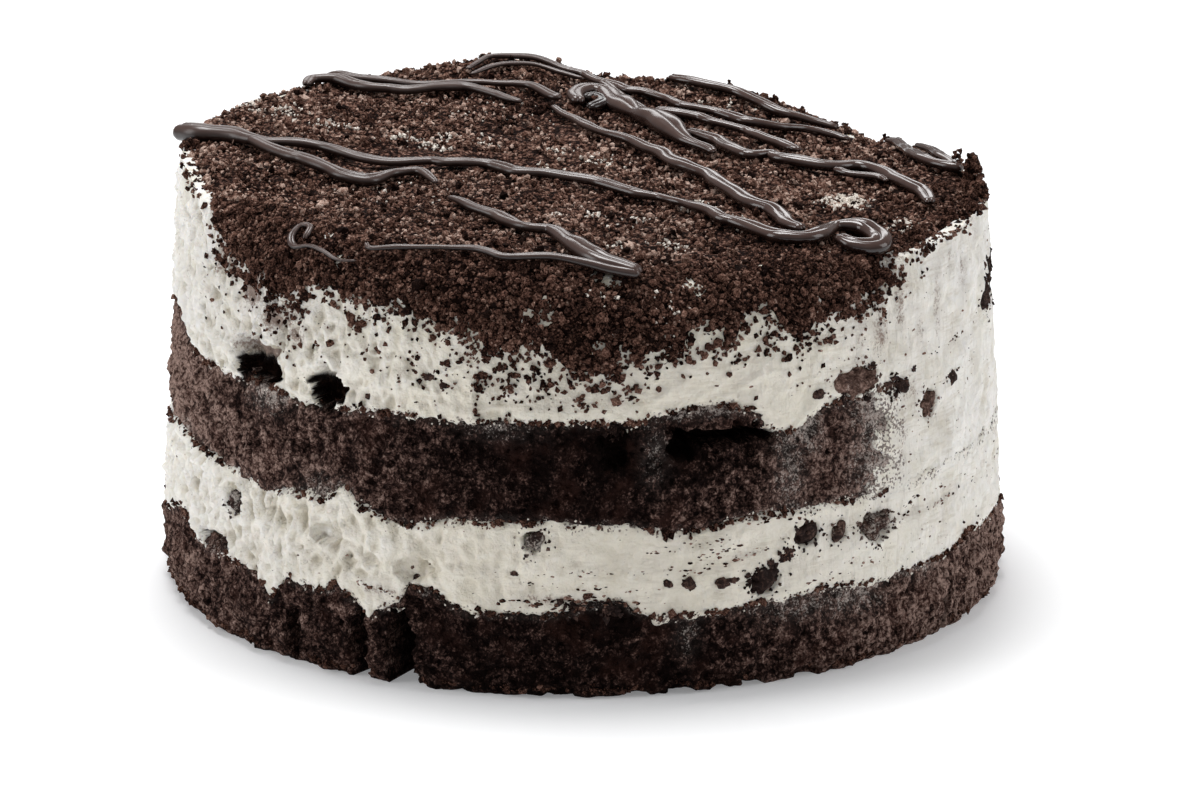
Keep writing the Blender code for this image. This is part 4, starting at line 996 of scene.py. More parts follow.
def on_surface(tree, x, y):
    """The topping's skin at a place on the plan, or its nearest point past the rim."""
    hit = tree.ray_cast(Vector((x, y, 0.2)), Vector((0.0, 0.0, -1.0)))[0]
    if hit is None:
        level = float(top_height(np.array((x, y, 0.0))))
        hit = tree.find_nearest(Vector((x, y, level)))[0]
    return hit


def smooth_route(points, step):
    """Evenly spaced points on a smooth curve through the given ones."""
    points = [np.array(point, float) for point in points]
    ends = [points[0] * 2 - points[1]] + points + [points[-1] * 2 - points[-2]]
    fine = []
    for i in range(len(points) - 1):
        before, start, end, after = ends[i:i + 4]
        bend = 2 * before - 5 * start + 4 * end - after
        turn = 3 * start - before - 3 * end + after
        for t in np.arange(24) / 24:
            fine.append(0.5 * (2 * start + (end - before) * t + bend * t ** 2 + turn * t ** 3))
    fine = np.array(fine + [points[-1]])
    lengths = np.concatenate([[0.0], np.cumsum(np.linalg.norm(np.diff(fine, axis=0), axis=1))])
    targets = np.linspace(0.0, lengths[-1], max(3, round(lengths[-1] / step) + 1))
    return np.stack([np.interp(targets, lengths, values) for values in fine.T], -1)


def tube(route, widths, thick):
    """Points and faces of a closed tube of oval section along a route."""
    along = np.gradient(route, axis=0)
    along /= np.linalg.norm(along, axis=1)[:, None]
    side = np.cross(along, (0.0, 0.0, 1.0))
    side /= np.linalg.norm(side, axis=1)[:, None]
    up = np.cross(side, along)
    turn = np.arange(TUBE_SIDES) * math.tau / TUBE_SIDES
    count = len(route)
    to_end = np.minimum(np.arange(count), np.arange(count)[::-1]) * DRIZZLE_STEP
    rounding = np.clip(to_end / (widths / 2), 0.04, 1.0)
    rounding = np.sqrt(rounding * (2.0 - rounding))
    half_width = (widths / 2 * rounding)[:, None, None]
    half_thick = (thick / 2 * rounding)[:, None, None]
    rings = route[:, None] + side[:, None] * (np.cos(turn)[:, None] * half_width)
    rings += up[:, None] * (np.sin(turn)[:, None] * half_thick)
    quads, *caps = grid_faces(count, TUBE_SIDES)
    points = np.concatenate([rings.reshape(-1, 3), route[:1], route[-1:]])
    return points, np.roll(quads[:, ::-1], 1, 1), [np.roll(cap[:, ::-1], -1, 1) for cap in caps]


def topping_height(points):
    """Height of the topping at points on the plan, over the top and down its shoulder."""
    angle = angle_of(points)
    past = np.maximum(np.hypot(points[..., 0], points[..., 1]) - shoulder_radius(angle), 0.0)
    edge = crumb_edge(angle)
    reach = wall_radius(angle, edge) + CRUMB_PROUD - shoulder_radius(angle)
    fall = edge + (shoulder_height(angle) - edge) * np.sqrt(np.clip(1.0 - (past / reach) ** 2, 0.0, 1.0))
    return np.where(past > 0.0, fall, top_height(points))


def smoothed(values, count):
    """Values along a line, each averaged over a window of that many."""
    window = np.hanning(count)
    return np.convolve(np.pad(values, count // 2, "edge"), window / window.sum(), "valid")


def make_drizzle(tree):
    """Every line as smooth strands that sink into one another."""
    points, quads, triangles, above, gloss = [], [], [], [], []
    total = 0
    for index, plan in enumerate(DRIZZLES):
        route = smooth_route(np.array(plan) * MM, DRIZZLE_STEP)
        count = len(route)
        route, width = route[:, :2], smoothed(route[:, 2], 9)
        spots = np.concatenate([route / (9 * MM), np.full((count, 1), index * 3.1)], -1)
        width = 0.2 * MM + width * (0.92 + 0.16 * lumps(spots, 0.8, 91))
        bumpy = smoothed(np.array([on_surface(tree, x, y).z for x, y in route]), 15)
        level = 0.65 * topping_height(route) + 0.35 * bumpy + DRIZZLE_LIFT
        along = np.gradient(route, axis=0)
        along /= np.linalg.norm(along, axis=1)[:, None]
        side = np.stack([along[:, 1], -along[:, 0]], -1)
        for strand in range(STRANDS):
            place = (strand / (STRANDS - 1) - 0.5) * 0.42
            wander = 0.12 * lumps(spots + 7.0 * strand, 1.6, 93)
            centre = route + side * (width * (place + wander))[:, None]
            lift = 0.12 * width * lumps(spots + 5.0 * strand, 1.4, 94) + 0.10 * width
            line = np.concatenate([centre, (level + lift)[:, None]], -1)
            wide = width * 0.72
            tube_points, tube_quads, caps = tube(line, wide, wide * 0.95)
            # above says how far up each side of a tube faces, for the painted shade on its underside
            facing_up = np.sin(np.arange(TUBE_SIDES) * math.tau / TUBE_SIDES)
            above.append(np.append(np.tile(facing_up, count), (0.0, 0.0)) - 2.0 * (index == DARK_LINE))
            glossy = smooth_step((route[:, 0] + 0.03) / 0.07)
            gloss.append(np.append(np.repeat(glossy, TUBE_SIDES), (0.5, 0.5)))
            points.append(tube_points)
            quads.append(tube_quads + total)
            triangles += [cap + total for cap in caps]
            total += len(tube_points)
    faces = [np.concatenate(quads), np.concatenate(triangles)]
    mesh = new_mesh("chocolate_drizzle", np.concatenate(points), faces)
    store(mesh, gloss=np.concatenate(gloss), above=np.concatenate(above))
    add_piece("chocolate_drizzle", mesh, DRIZZLE, "drizzle", "crumb_topping")


def make_clumps(tree):
    """Larger clumps on the top, each a knot of grains."""
    rng = np.random.default_rng(23)
    centres, sizes = [], []
    for x, y, width, tall in CLUMPS:
        spot = np.array(on_surface(tree, x * MM, y * MM))
        count = int(5 * width + 3 * tall)
        rise = rng.uniform(0.0, 1.0, count)
        offsets = np.clip(rng.normal(size=(count, 3)), -1.6, 1.6) * 0.3 * width * (1.0 - 0.55 * rise[:, None])
        offsets[:, 2] = rise * tall
        centres.append(spot + offsets * MM)
        sizes.append(rng.uniform(0.32, 0.62, count) * min(width, 3.8) * (1.0 - 0.3 * rise) * MM)
    centres, sizes = np.concatenate(centres), np.concatenate(sizes)
    shades = rng.uniform(-0.1, 0.35, len(sizes))
    add_grains("crumb_clumps", ON_TOP, centres, sizes, rng, rough=0.34, subdivisions=1, shades=shades)


def make_pale_flecks(tree):
    """Specks of ice cream between the crumbs."""
    rng = np.random.default_rng(29)
    lift = Vector((0.0, 0.0, 0.42 * MM))
    centres = []
    for x, y, spread, count in PALE_SPOTS:
        for dx, dy in rng.normal(size=(int(4.2 * count), 2)) * spread * 0.5:
            centres.append(on_surface(tree, (x + dx) * MM, (y + dy) * MM) + lift)
    sizes = (0.40 + 0.75 * rng.uniform(0.0, 1.0, len(centres)) ** 2.5) * MM
    kind = (PALE_FLECK, "ice_cream", "crumb_topping")
    add_grains("pale_flecks", kind, np.array(centres), sizes, rng, rough=0.5)


def wall_spots(trees, angles, heights):
    """Places and outward directions on whichever layer lies outermost at each angle and height."""
    places = []
    outward = around(np.asarray(angles), 1.0, 0.0)
    for direction, height in zip(outward, heights):
        start = Vector(direction * 0.12) + Vector((0.0, 0.0, height))
        hits = [tree.ray_cast(start, Vector(-direction))[0] for tree in trees]
        hits = [hit for hit in hits if hit is not None]
        places.append(max(hits, key=lambda hit: math.hypot(hit.x, hit.y)))
    return np.array(places), outward


def wall_frames(outward, stretches):
    """Matrices that stretch along the wall, out of it and upwards."""
    up = np.broadcast_to((0.0, 0.0, 1.0), outward.shape)
    frame_axes = np.stack([np.cross(up, outward), outward, up], -1)
    return np.einsum("nij,j,nkj->nik", frame_axes, np.array(stretches), frame_axes)


def make_cookie_flecks(trees, rng):
    """Flecks of cookie in lines along the ice cream, and others all over it."""
    angles, heights, sizes = [], [], []
    for (angle, height), (last_angle, last_height), count, smallest, largest in FLECK_LINES:
        share = rng.uniform(0.0, 1.0, count)
        angles += list(angle + angle_apart(last_angle, angle) * share + rng.normal(size=count) * 0.4)
        heights += list((height + (last_height - height) * share + rng.normal(size=count) * 0.45) * MM)
        sizes += list(smallest + (largest - smallest) * rng.uniform(0.0, 1.0, count) ** 2)
    wanted = LONE_FLECKS
    while wanted:
        angle = rng.uniform(-180.0, 180.0)
        height = rng.uniform(18.0, 84.0) * MM
        in_cream = max(float(in_lower_ice_cream(angle, height)), float(in_upper_ice_cream(angle, height)))
        likely = 1.0 if 20.0 < angle < 130.0 else 0.35
        if in_cream > 1.0 * MM and height < crumb_edge(angle) and rng.uniform() < likely:
            angles.append(angle)
            heights.append(height)
            sizes.append(0.25 + 0.75 * rng.uniform() ** 3)
            wanted -= 1
    places, outward = wall_spots(trees, angles, heights)
    sizes = np.array(sizes) * MM
    shades = 0.75 * rng.uniform(0.0, 1.0, len(sizes)) ** 1.5
    kind = (CRUMB, "cookie", "ice_cream_lower")
    places = places - outward * sizes[:, None] * 0.12
    add_grains("cookie_flecks", kind, places, sizes, rng, rough=0.4, subdivisions=1, shades=shades,
               frames=wall_frames(outward, (1.5, 0.6, 0.72)))


def make_cookie_bits(trees, rng):
    """Knots of crumbs on the wall, and the bits that ring each cookie piece."""
    angles, heights, sizes = [], [], []
    for angle, height, width in KNOTS:
        count = int(9 * width)
        angles += list(angle + rng.normal(size=count) * width * 0.17)
        heights += list((height + rng.normal(size=count) * width * 0.24) * MM)
        sizes += list(rng.uniform(0.6, 1.6, count))
    shades, frosts = [0.15] * len(sizes), [0.0] * len(sizes)
    for (angle, height, width, tall), (frost, shade) in zip(COOKIE_PLACES, COOKIE_LOOKS):
        count = int(6 * width)
        turn = rng.uniform(0.0, math.tau, count)
        reach = (0.75 + 0.85 * rng.uniform(0.0, 1.0, count) ** 1.6) / 2
        angles += list(angle + np.degrees(np.cos(turn) * reach * width * MM / WALL_RADIUS))
        heights += list((height + np.sin(turn) * reach * tall) * MM)
        sizes += list(rng.uniform(0.3, 1.5, count) * np.clip(1.7 - 1.6 * reach, 0.4, 1.0))
        shades += [shade] * count
        frosts += [frost] * count
    places, outward = wall_spots(trees, angles, heights)
    sizes = np.array(sizes) * MM
    shades = np.array(shades) + rng.uniform(-0.15, 0.25, len(sizes))
    kind = (COOKIE, "cookie", "ice_cream_lower")
    places = places - outward * sizes[:, None] * 0.1
    mesh = add_grains("cookie_bits", kind, places, sizes, rng, rough=0.42, shades=shades).data
    store(mesh, frost=np.repeat(frosts, len(mesh.vertices) // len(sizes)))


def make_small_pieces(trees, rng):
    """Single small pieces of cookie."""
    angles, heights, sizes = np.array(SMALL_PIECES).T
    places, outward = wall_spots(trees, angles, heights * MM)
    sizes = sizes * MM
    kind = (COOKIE, "cookie", "ice_cream_lower")
    places = places - outward * sizes[:, None] * 0.2
    add_grains("small_cookie_pieces", kind, places, sizes, rng, rough=0.22, subdivisions=3, smooth=True,
               frames=wall_frames(outward, (1.25, 0.8, 0.9)))


def make_seam_bits(trees):
    """Crumbs of sponge along every seam and the foot, and specks of ice cream on the sponges.

    Each has its name, how many, its kind, the largest in mm, how far up from the seam it lies in mm,
    and how many of the lines have it.
    """
    rng = np.random.default_rng(37)
    lines = (seam_low, seam_mid, seam_high, lambda angle: FOOT_LINE)
    for name, count, kind, largest, shift, line_count in (
            ("seam_crumbs", 3000, (CRUMB, "crumb", "sponge_upper"), 1.7, 0.0, 4),
            ("seam_cream", 300, (PALE_FLECK, "ice_cream", "sponge_upper"), 0.66, -0.9, 3)):
        angles, heights = [], []
        while len(angles) < count:
            angle = rng.uniform(-180.0, 180.0)
            which = rng.integers(line_count)
            if which in (1, 2) and COAT_START + 2.0 < angle < COAT_END:
                continue
            away = abs(rng.normal()) * 0.6 * MM + shift * MM
            height = float(lines[which](angle)) + (-away if which == 1 else away)
            patchy = lumps(around(angle, WALL_RADIUS, height), 5.0 * MM, 95)
            if rng.uniform() < 0.45 + 1.1 * patchy:
                heights.append(height)
                angles.append(angle)
        places, outward = wall_spots(trees, angles, heights)
        sizes = (0.4 + (largest - 0.4) * rng.uniform(0.0, 1.0, count) ** 2) * MM
        shades = 0.42 * rng.uniform(0.0, 1.0, count)
        places = places + outward * sizes[:, None] * 0.1
        add_grains(name, kind, places, sizes, rng, rough=0.38, shades=shades)


def rounded_blank(name):
    """The solid of a cookie piece as a finer and rounder mesh."""
    whole = bmesh.new()
    whole.from_mesh(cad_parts[name].data)
    bmesh.ops.remove_doubles(whole, verts=whole.verts, dist=0.001 * MM)
    joined = bpy.data.meshes.new("blank_" + name)
    whole.to_mesh(joined)
    whole.free()
    blank = bpy.data.objects.new("blank_" + name, joined)
    bpy.context.scene.collection.objects.link(blank)
    finer = blank.modifiers.new("finer", "SUBSURF")
    finer.levels = 2 if len(joined.polygons) > 60 else 3
    mesh = bpy.data.meshes.new_from_object(blank.evaluated_get(bpy.context.evaluated_depsgraph_get()))
    bpy.data.objects.remove(blank)
    return mesh


def make_cookies():
    """Each cookie piece with its broken, porous surface."""
    places = np.array(COOKIE_PLACES)
    middles = around(places[:, 0], WALL_RADIUS, places[:, 1] * MM)
    for name in sorted(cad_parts):
        if not name.startswith("cookie_"):
            continue
        mesh = rounded_blank(name)
        count = len(mesh.vertices)
        points = np.empty(count * 3)
        normals = np.empty(count * 3)
        mesh.vertices.foreach_get("co", points)
        mesh.vertices.foreach_get("normal", normals)
        points, normals = points.reshape(-1, 3), normals.reshape(-1, 3)
        pores = smooth_step((0.45 - bubbles(points, 1.9 * MM, 51)) / 0.4)
        relief = 1.25 * lumps(points, 3.2 * MM, 52) + 0.95 * lumps(points, 1.5 * MM, 53) - 0.7 * pores + 0.40
        points = points + normals * (relief * MM)[:, None]
        mesh.vertices.foreach_set("co", points.ravel())
        mesh.update()
        nearest = np.linalg.norm(middles - points.mean(0), axis=1).argmin()
        frost, shade = COOKIE_LOOKS[nearest]
        store(mesh, shade=np.full(count, shade), frost=np.full(count, frost))
        add_piece("broken_" + name, mesh, COOKIE, "cookie", name)


# Materials

class Paint:
    """A material whose nodes are added one call at a time."""

    def __init__(self, name):
        self.material = bpy.data.materials.new(name)
        self.material.use_nodes = True
        self.tree = self.material.node_tree
        self.shader = self.tree.nodes["Principled BSDF"]
        self.place = self.add("ShaderNodeTexCoord").outputs["Object"]

    def add(self, kind, inputs=(), **settings):
        node = self.tree.nodes.new(kind)
        for key, value in settings.items():
            setattr(node, key, value)
        for key, value in dict(inputs).items():
            self.feed(node.inputs[key], value)
        return node

    def feed(self, socket, value):
        if isinstance(value, bpy.types.NodeSocket):
            self.tree.links.new(value, socket)
        else:
            socket.default_value = value

    def attribute(self, name):
        return self.add("ShaderNodeAttribute", attribute_name=name).outputs["Fac"]

    def noise(self, size, detail=2.0, rough=0.55, stretch=(1.0, 1.0, 1.0), shift=0.0):
        """Noise from 0 to 1 with lumps of a size in mm; a stretched direction has longer ones."""
        scale = [1.0 / (size * MM * part) for part in stretch]
        inputs = {"Vector": self.place, "Scale": scale, "Location": (shift,) * 3}
        place = self.add("ShaderNodeMapping", inputs)
        inputs = {"Vector": place.outputs[0], "Scale": 1.0, "Detail": detail, "Roughness": rough}
        return self.add("ShaderNodeTexNoise", inputs).outputs["Fac"]

    def cells(self, size):
        """Two random numbers for each cell of a crumbly pattern, and the distance from the cell's middle."""
        inputs = {"Vector": self.place, "Scale": 1.0 / (0.9 * size * MM), "Detail": 2.0}
        bend = self.add("ShaderNodeTexNoise", inputs).outputs["Color"]
        inputs = {0: bend, 1: (0.8 * size * MM,) * 3, 2: self.place}
        place = self.add("ShaderNodeVectorMath", inputs, operation="MULTIPLY_ADD")
        cells = self.add("ShaderNodeTexVoronoi", {"Vector": place.outputs[0], "Scale": 1.0 / (size * MM)})
        parts = self.add("ShaderNodeSeparateColor", {"Color": cells.outputs["Color"]})
        return parts.outputs[0], parts.outputs[1], cells.outputs["Distance"]

    def maths(self, operation, first, second=0.0, third=0.0):
        return self.add("ShaderNodeMath", {0: first, 1: second, 2: third}, operation=operation).outputs[0]

    def times(self, first, second):
        return self.maths("MULTIPLY", first, second)

    def plus(self, value, pattern, weight):
        """A value with a pattern added at some weight."""
        return self.maths("MULTIPLY_ADD", pattern, weight, value)

    def sway(self, value, pattern, weight, middle=0.5):
        """A value moved up and down by a pattern, which leaves it as it is at the pattern's middle."""
        return self.plus(value, self.maths("SUBTRACT", pattern, middle), weight)

    def step(self, value, low, high):
        """0 below low, 1 above high and smooth between."""
        return self.add("ShaderNodeMapRange", {"Value": value, "From Min": low, "From Max": high},
                        interpolation_type="SMOOTHSTEP").outputs["Result"]

    def ramp(self, value, *stops):
        node = self.add("ShaderNodeValToRGB", {"Fac": value})
        elements = node.color_ramp.elements
        while len(elements) < len(stops):
            elements.new(0.5)
        for element, (place, colour) in zip(elements, stops):
            element.position = place
            element.color = (*colour, 1.0)
        return node.outputs["Color"]

    def mix(self, share, first, second):
        def full(colour):
            return (*colour, 1.0) if isinstance(colour, tuple) else colour
        node = self.add("ShaderNodeMix", data_type="RGBA")
        self.feed(node.inputs[0], share)
        self.feed(node.inputs[6], full(first))
        self.feed(node.inputs[7], full(second))
        return node.outputs[2]

    def tint(self, colour, other, share, weight):
        """A colour with another laid over it, as strongly as a share times a weight."""
        return self.mix(self.times(share, weight), colour, other)

    def bumps(self, *layers):
        """Bumps over one another, each with its height, its distance in mm and its strength."""
        below = {}
        for height, distance, strength in layers:
            inputs = {"Height": height, "Distance": distance * MM, "Strength": strength, **below}
            below = {"Normal": self.add("ShaderNodeBump", inputs).outputs["Normal"]}
        return below["Normal"]

    def finish(self, **sockets):
        for key, value in sockets.items():
            self.feed(self.shader.inputs[key.replace("_", " ")], value)
        return self.material


def sponge_material():
    paint = Paint("chocolate sponge")
    fine = paint.noise(0.45, 3.0, 0.7)
    grain = paint.noise(2.4, 3.0, 0.6, shift=3.0)
    broad = paint.noise(8.0, 2.0, shift=8.0)
    crumb, other, away = paint.cells(0.95)
    knob, _, knob_away = paint.cells(2.7)
    # Painted light and shade: the light attribute makes the sponge darker at the front and lighter at the
    # sides
    tone = paint.sway(paint.attribute("light"), crumb, 0.16)
    # Painted shade between the sponge's crumbs: each cell darker towards its edge
    tone = paint.sway(tone, paint.step(away, 0.72, 0.40), 0.30, 0.7)
    tone = paint.sway(tone, paint.step(knob_away, 0.75, 0.40), 0.20, 0.75)
    tone = paint.sway(tone, knob, 0.10)
    tone = paint.sway(tone, grain, 1.15)
    tone = paint.sway(tone, fine, 1.7)
    # Painted shade in the pores and painted light on the lumps, from the relief
    tone = paint.plus(tone, paint.attribute("relief"), 0.24)
    ribs = paint.noise(0.9, 2.0, 0.6, (1.0, 1.0, 7.0), shift=12.0)
    ribs = paint.times(paint.maths("SUBTRACT", ribs, 0.5), paint.attribute("streaky"))
    tone = paint.plus(tone, ribs, 1.3)
    colour = paint.ramp(tone, (0.0, (0.005, 0.0022, 0.0018)), (0.3, (0.022, 0.0115, 0.0095)),
                        (0.6, (0.106, 0.061, 0.050)), (1.0, (0.36, 0.25, 0.21)))
    colour = paint.tint(colour, (0.072, 0.030, 0.022), paint.step(broad, 0.50, 0.72), 0.24)
    frost = paint.attribute("frost")
    colour = paint.tint(colour, (0.24, 0.20, 0.185), frost, 0.20)
    sugar = paint.plus(paint.times(frost, 0.85), other, -0.45)
    sugar = paint.sway(sugar, fine, 2.8)
    sugar = paint.sway(sugar, grain, 1.4)
    sugar = paint.times(paint.step(sugar, 0.22, 0.80), paint.times(paint.step(frost, 0.04, 0.34), 0.75))
    colour = paint.mix(sugar, colour, (0.52, 0.46, 0.42))
    # Painted shade inside the deep hollows
    colour = paint.tint(colour, (0.005, 0.0026, 0.0021), paint.attribute("hollow"), 0.93)
    height = paint.plus(paint.times(crumb, 0.35), away, -1.0)
    normal = paint.bumps((grain, 0.6, 0.7), (paint.times(knob_away, -1.0), 1.5, 0.7), (height, 0.65, 0.9),
                         (fine, 0.22, 0.8), (ribs, 0.8, 0.8))
    return paint.finish(Base_Color=colour, Roughness=0.95, Specular_IOR_Level=0.05, Normal=normal)


def ice_cream_material():
    paint = Paint("ice cream")
    fine = paint.noise(0.6, 3.0, 0.65)
    grain = paint.noise(2.0, 3.0, 0.6, shift=4.0)
    broad = paint.noise(9.0, 2.0, shift=9.0)
    streaks = paint.noise(0.8, 3.0, 0.6, (1.0, 1.0, 12.0), shift=2.0)
    strokes = paint.noise(0.7, 2.0, 0.6, (9.0, 9.0, 1.0), shift=7.0)
    streaky, airy, low, hollow = (paint.attribute(name) for name in ("streaky", "airy", "low", "hollow"))
    plain = paint.maths("SUBTRACT", 1.0, airy)
    colour = paint.mix(paint.attribute("pale"), (0.82, 0.765, 0.655), (0.875, 0.855, 0.818))
    colour = paint.tint(colour, (0.68, 0.63, 0.50), paint.step(broad, 0.42, 0.72), 0.36)
    colour = paint.tint(colour, (0.60, 0.55, 0.445), paint.step(grain, 0.52, 0.80), 0.28)
    stains = paint.sway(paint.noise(4.5, 2.0, 0.6, (2.2, 2.2, 1.0), 21.0), strokes, 0.9)
    colour = paint.tint(colour, (0.50, 0.44, 0.35), paint.step(stains, 0.52, 0.78), paint.times(plain, 0.36))
    # Painted shade in the pits, darker and yellower
    colour = paint.tint(colour, (0.62, 0.55, 0.37), paint.attribute("pits"), 0.35)
    # Painted shade in the low places of the relief, and painted highlight on the ridges
    colour = paint.tint(colour, (0.44, 0.39, 0.30), paint.step(low, 0.15, 1.5), 0.62)
    colour = paint.tint(colour, (0.93, 0.915, 0.88), paint.step(low, -0.1, -1.1), 0.5)
    thin = paint.step(streaks, 0.50, 0.78)
    colour = paint.tint(colour, (0.48, 0.43, 0.37), thin, paint.times(streaky, 0.38))
    specks = paint.step(paint.noise(0.9, 2.0, 0.5, (1.3, 1.3, 1.0), shift=15.0), 0.69, 0.76)
    colour = paint.tint(colour, (0.26, 0.18, 0.14), specks, paint.plus(0.35, streaky, 0.45))
    _, other, away = paint.cells(0.5)
    dust = paint.plus(paint.times(fine, 0.3), paint.attribute("edge"), 0.42)
    dust = paint.maths("SUBTRACT", paint.maths("SUBTRACT", dust, 0.17), other)
    dust = paint.plus(dust, away, -0.25)
    colour = paint.tint(colour, (0.105, 0.070, 0.058), paint.step(dust, -0.05, 0.15), 0.88)
    # Smears, and painted shade on the ceiling of one hollow
    smear_and_shade = paint.attribute("smear_and_shade")
    colour = paint.tint(colour, (0.33, 0.29, 0.26), smear_and_shade, 0.42)
    smear_and_shade = paint.sway(paint.sway(smear_and_shade, fine, 1.5), grain, 1.1)
    colour = paint.tint(colour, (0.19, 0.115, 0.085), paint.step(smear_and_shade, 0.50, 0.95), 0.8)
    # Painted shade inside the deep hollows: near black, a little lighter in places
    inner = paint.mix(paint.step(grain, 0.5, 0.8), (0.004, 0.002, 0.0016), (0.028, 0.016, 0.012))
    colour = paint.mix(paint.step(paint.sway(hollow, fine, 0.3), 0.2, 0.7), colour, inner)
    normal = paint.bumps((paint.times(grain, paint.plus(0.7, airy, 0.9)), 0.8, 0.8),
                         (paint.times(streaks, streaky), 0.45, 0.8),
                         (paint.times(strokes, plain), 0.14, 0.5), (fine, 0.26, 0.9))
    return paint.finish(Base_Color=colour, Roughness=paint.plus(0.40, grain, 0.25), Normal=normal,
                        Specular_IOR_Level=paint.plus(0.35, hollow, -0.35), Subsurface_Weight=0.2,
                        Subsurface_Radius=(1.0, 0.8, 0.55), Subsurface_Scale=0.0018)


def pale_fleck_material():
    paint = Paint("fleck of ice cream")
    colour = paint.mix(paint.noise(0.8, 2.0), (0.60, 0.52, 0.44), (0.90, 0.86, 0.80))
    normal = paint.bumps((paint.noise(0.4, 2.0, shift=3.0), 0.15, 0.7))
    return paint.finish(Base_Color=colour, Roughness=0.5, Specular_IOR_Level=0.4, Normal=normal)


def crumb_material(packed):
    """Loose grains take their shade from the mesh; packed ones are cells of the pattern, with painted shade
    between them.
    """
    paint = Paint("packed cookie crumb" if packed else "cookie crumb")
    fine = paint.noise(0.4, 3.0, 0.7)
    broad = paint.noise(14.0, 2.0, shift=5.0)
    shade = paint.attribute("shade")
    height = fine
    if packed:
        cells = paint.add("ShaderNodeTexVoronoi", {"Vector": paint.place, "Scale": 1.0 / (0.9 * MM)})
        parts = paint.add("ShaderNodeSeparateColor", {"Color": cells.outputs["Color"]})
        shade = paint.plus(shade, parts.outputs[0], 0.75)
        # Painted shade between the packed cells
        shade = paint.plus(shade, cells.outputs["Distance"], -0.9)
        height = paint.plus(fine, cells.outputs["Distance"], -2.5)
    tone = paint.sway(paint.sway(shade, fine, 2.1), broad, 0.6)
    colour = paint.ramp(tone, (0.0, (0.007, 0.0026, 0.0018)), (0.38, (0.118, 0.057, 0.041)),
                        (0.72, (0.300, 0.182, 0.140)), (1.0, (0.58, 0.43, 0.36)))
    normal = paint.bumps((height, 0.35, 0.9))
    return paint.finish(Base_Color=colour, Roughness=0.9, Specular_IOR_Level=0.06, Normal=normal)


def cookie_material():
    paint = Paint("chocolate cookie")
    fine = paint.noise(0.5, 3.0, 0.65)
    grain = paint.noise(1.6, 3.0, 0.6, shift=6.0)
    tone = paint.sway(paint.sway(grain, fine, 1.2), paint.attribute("shade"), 0.42)
    colour = paint.ramp(tone, (0.0, (0.007, 0.004, 0.0035)), (0.42, (0.026, 0.015, 0.013)),
                        (0.70, (0.105, 0.060, 0.047)), (1.0, (0.30, 0.20, 0.165)))
    creamy = paint.sway(paint.attribute("frost"), fine, 1.8)
    creamy = paint.sway(creamy, paint.noise(2.4, 2.0, shift=11.0), 1.6)
    colour = paint.tint(colour, (0.44, 0.40, 0.36), paint.step(creamy, 0.45, 0.95), 0.8)
    normal = paint.bumps((grain, 0.4, 0.8), (fine, 0.2, 0.8))
    return paint.finish(Base_Color=colour, Roughness=0.85, Specular_IOR_Level=0.12, Normal=normal)


def drizzle_material():
    paint = Paint("chocolate sauce")
    broad = paint.noise(5.0, 2.0)
    fine = paint.noise(0.9, 2.0, shift=4.0)
    colour = paint.mix(broad, (0.044, 0.024, 0.020), (0.088, 0.054, 0.045))
    # Painted shade on the tubes' undersides
    colour = paint.mix(paint.step(paint.attribute("above"), -0.25, 0.65), (0.016, 0.008, 0.0065), colour)
    rough = paint.plus(paint.plus(0.26, paint.attribute("gloss"), -0.18), broad, 0.14)
    normal = paint.bumps((fine, 0.04, 0.3))
    return paint.finish(Base_Color=colour, Roughness=rough, Specular_IOR_Level=0.55, Normal=normal)


def floor_material():
    paint = Paint("studio floor")
    haze = paint.noise(120.0, 1.0)
    colour = paint.mix(haze, (0.86, 0.865, 0.875), (0.89, 0.892, 0.90))
    return paint.finish(Base_Color=colour, Roughness=0.65, Specular_IOR_Level=0.2,
                        Emission_Color=(0.97, 0.98, 1.0, 1.0), Emission_Strength=0.19)


# Studio

def facing(target, place):
    """The turn of a light or camera that looks from a place at a target."""
    return (Vector(target) - Vector(place)).to_track_quat("-Z", "Y").to_euler()


def add_light(name, size, power, place):
    lamp = bpy.data.lights.new(name, "AREA")
    lamp.shape = "RECTANGLE"
    lamp.size, lamp.size_y = size
    lamp.energy = power
    obj = bpy.data.objects.new(name, lamp)
    obj.location = place
    obj.rotation_euler = facing(LIGHT_TARGET, place)
    bpy.context.scene.collection.objects.link(obj)


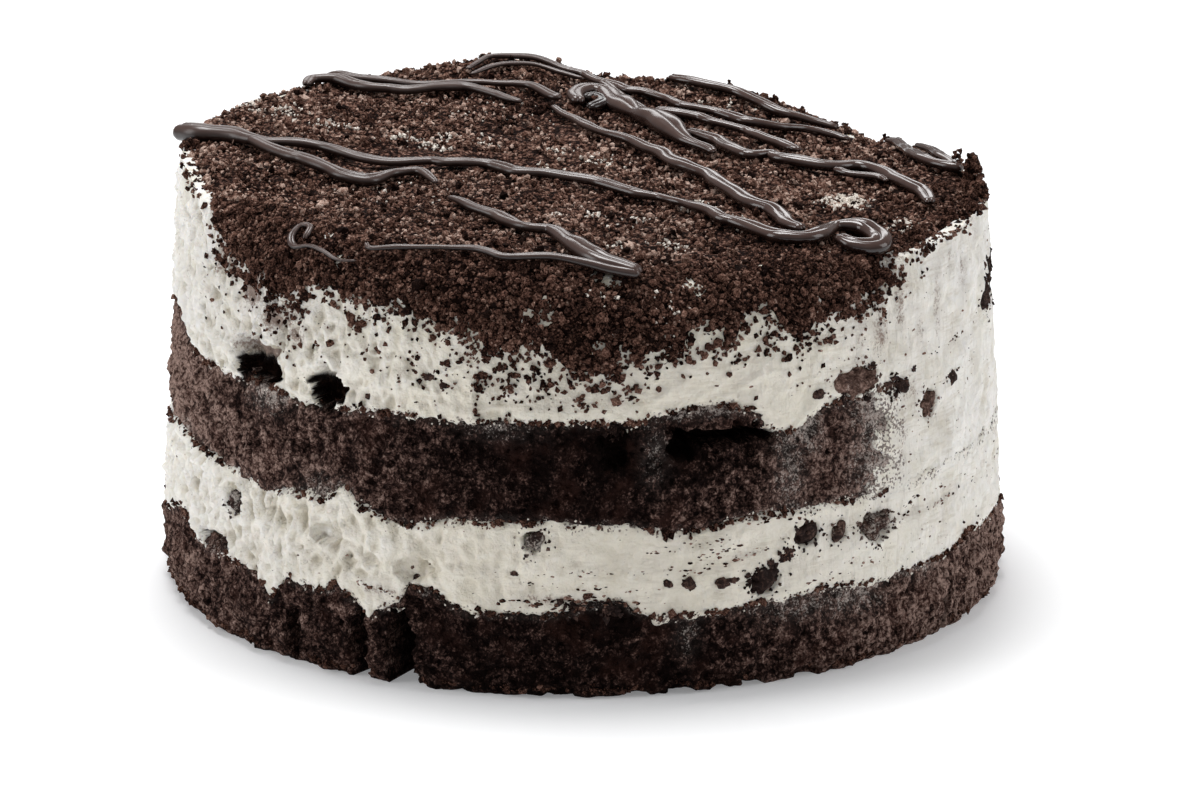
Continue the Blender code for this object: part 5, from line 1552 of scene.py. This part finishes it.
def make_studio():
    scene = bpy.context.scene
    scene.view_settings.view_transform = "Standard"
    scene.view_settings.look = "None"
    world = bpy.data.worlds.new("studio")
    scene.world = world
    world.use_nodes = True
    background = world.node_tree.nodes["Background"]
    background.inputs["Color"].default_value = (1.0, 1.0, 1.0, 1.0)
    background.inputs["Strength"].default_value = SKY_STRENGTH

    mesh = bpy.data.meshes.new("studio_floor")
    reach = FLOOR_REACH
    corners = [(-reach, -reach, 0), (reach, -reach, 0), (reach, reach, 0), (-reach, reach, 0)]
    mesh.from_pydata(corners, [], [(0, 1, 2, 3)])
    mesh.materials.append(floor_material())
    floor = bpy.data.objects.new("studio_floor", mesh)
    scene.collection.objects.link(floor)
    for light in LIGHTS:
        add_light(*light)

    camera = bpy.data.cameras.new("camera")
    camera.sensor_width = SENSOR_WIDTH
    camera.lens = LENS
    obj = bpy.data.objects.new("camera", camera)
    target = Vector(CAMERA_TARGET)
    elevation = math.radians(CAMERA_ELEVATION)
    obj.location = target + CAMERA_DISTANCE * Vector((0.0, -math.cos(elevation), math.sin(elevation)))
    obj.rotation_euler = facing(target, obj.location)
    scene.collection.objects.link(obj)
    scene.camera = obj


SPONGE = sponge_material()
ICE_CREAM = ice_cream_material()
PALE_FLECK = pale_fleck_material()
CRUMB = crumb_material(False)
PACKED_CRUMB = crumb_material(True)
COOKIE = cookie_material()
DRIZZLE = drizzle_material()
ON_TOP = (CRUMB, "crumb", "crumb_topping")


def main():
    make_studio()
    lower_sponge = make_sponge(
        "lower_sponge", "sponge_bottom", rows=34, seed=21, relief=CRAG_LOWER_SPONGE, light=PAINTED_LIGHT_LOWER,
        foot=lambda angle: 0.0 * angle,
        top=lambda angle: seam_low(angle) + SPONGE_OVERLAP,
        inside_of=lambda angle, height, points: seam_low(angle) - height - ragged(points))
    upper_sponge = make_sponge(
        "upper_sponge", "sponge_upper", rows=46, seed=22, relief=CRAG_UPPER_SPONGE, light=PAINTED_LIGHT_UPPER,
        foot=lambda angle: seam_mid(angle) - SPONGE_OVERLAP,
        top=lambda angle: seam_high(angle) + SPONGE_OVERLAP,
        inside_of=lambda angle, height, points: np.minimum(
            height - seam_mid(angle) + ragged(points), -in_upper_ice_cream(angle, height) - ragged(points)))
    lower_cream = make_lower_ice_cream()
    upper_cream = make_upper_ice_cream()
    bed = make_crumb_bed()
    tree = surface_tree(bed)
    cover_with_crumbs(bed, upper_cream)
    make_clumps(tree)
    make_drizzle(tree)
    make_pale_flecks(tree)
    make_cookies()
    trees = [surface_tree(layer) for layer in (lower_sponge, upper_sponge, lower_cream, upper_cream)]
    rng = np.random.default_rng(31)
    make_cookie_flecks(trees, rng)
    make_cookie_bits(trees, rng)
    make_small_pieces(trees, rng)
    make_seam_bits(trees)


main()
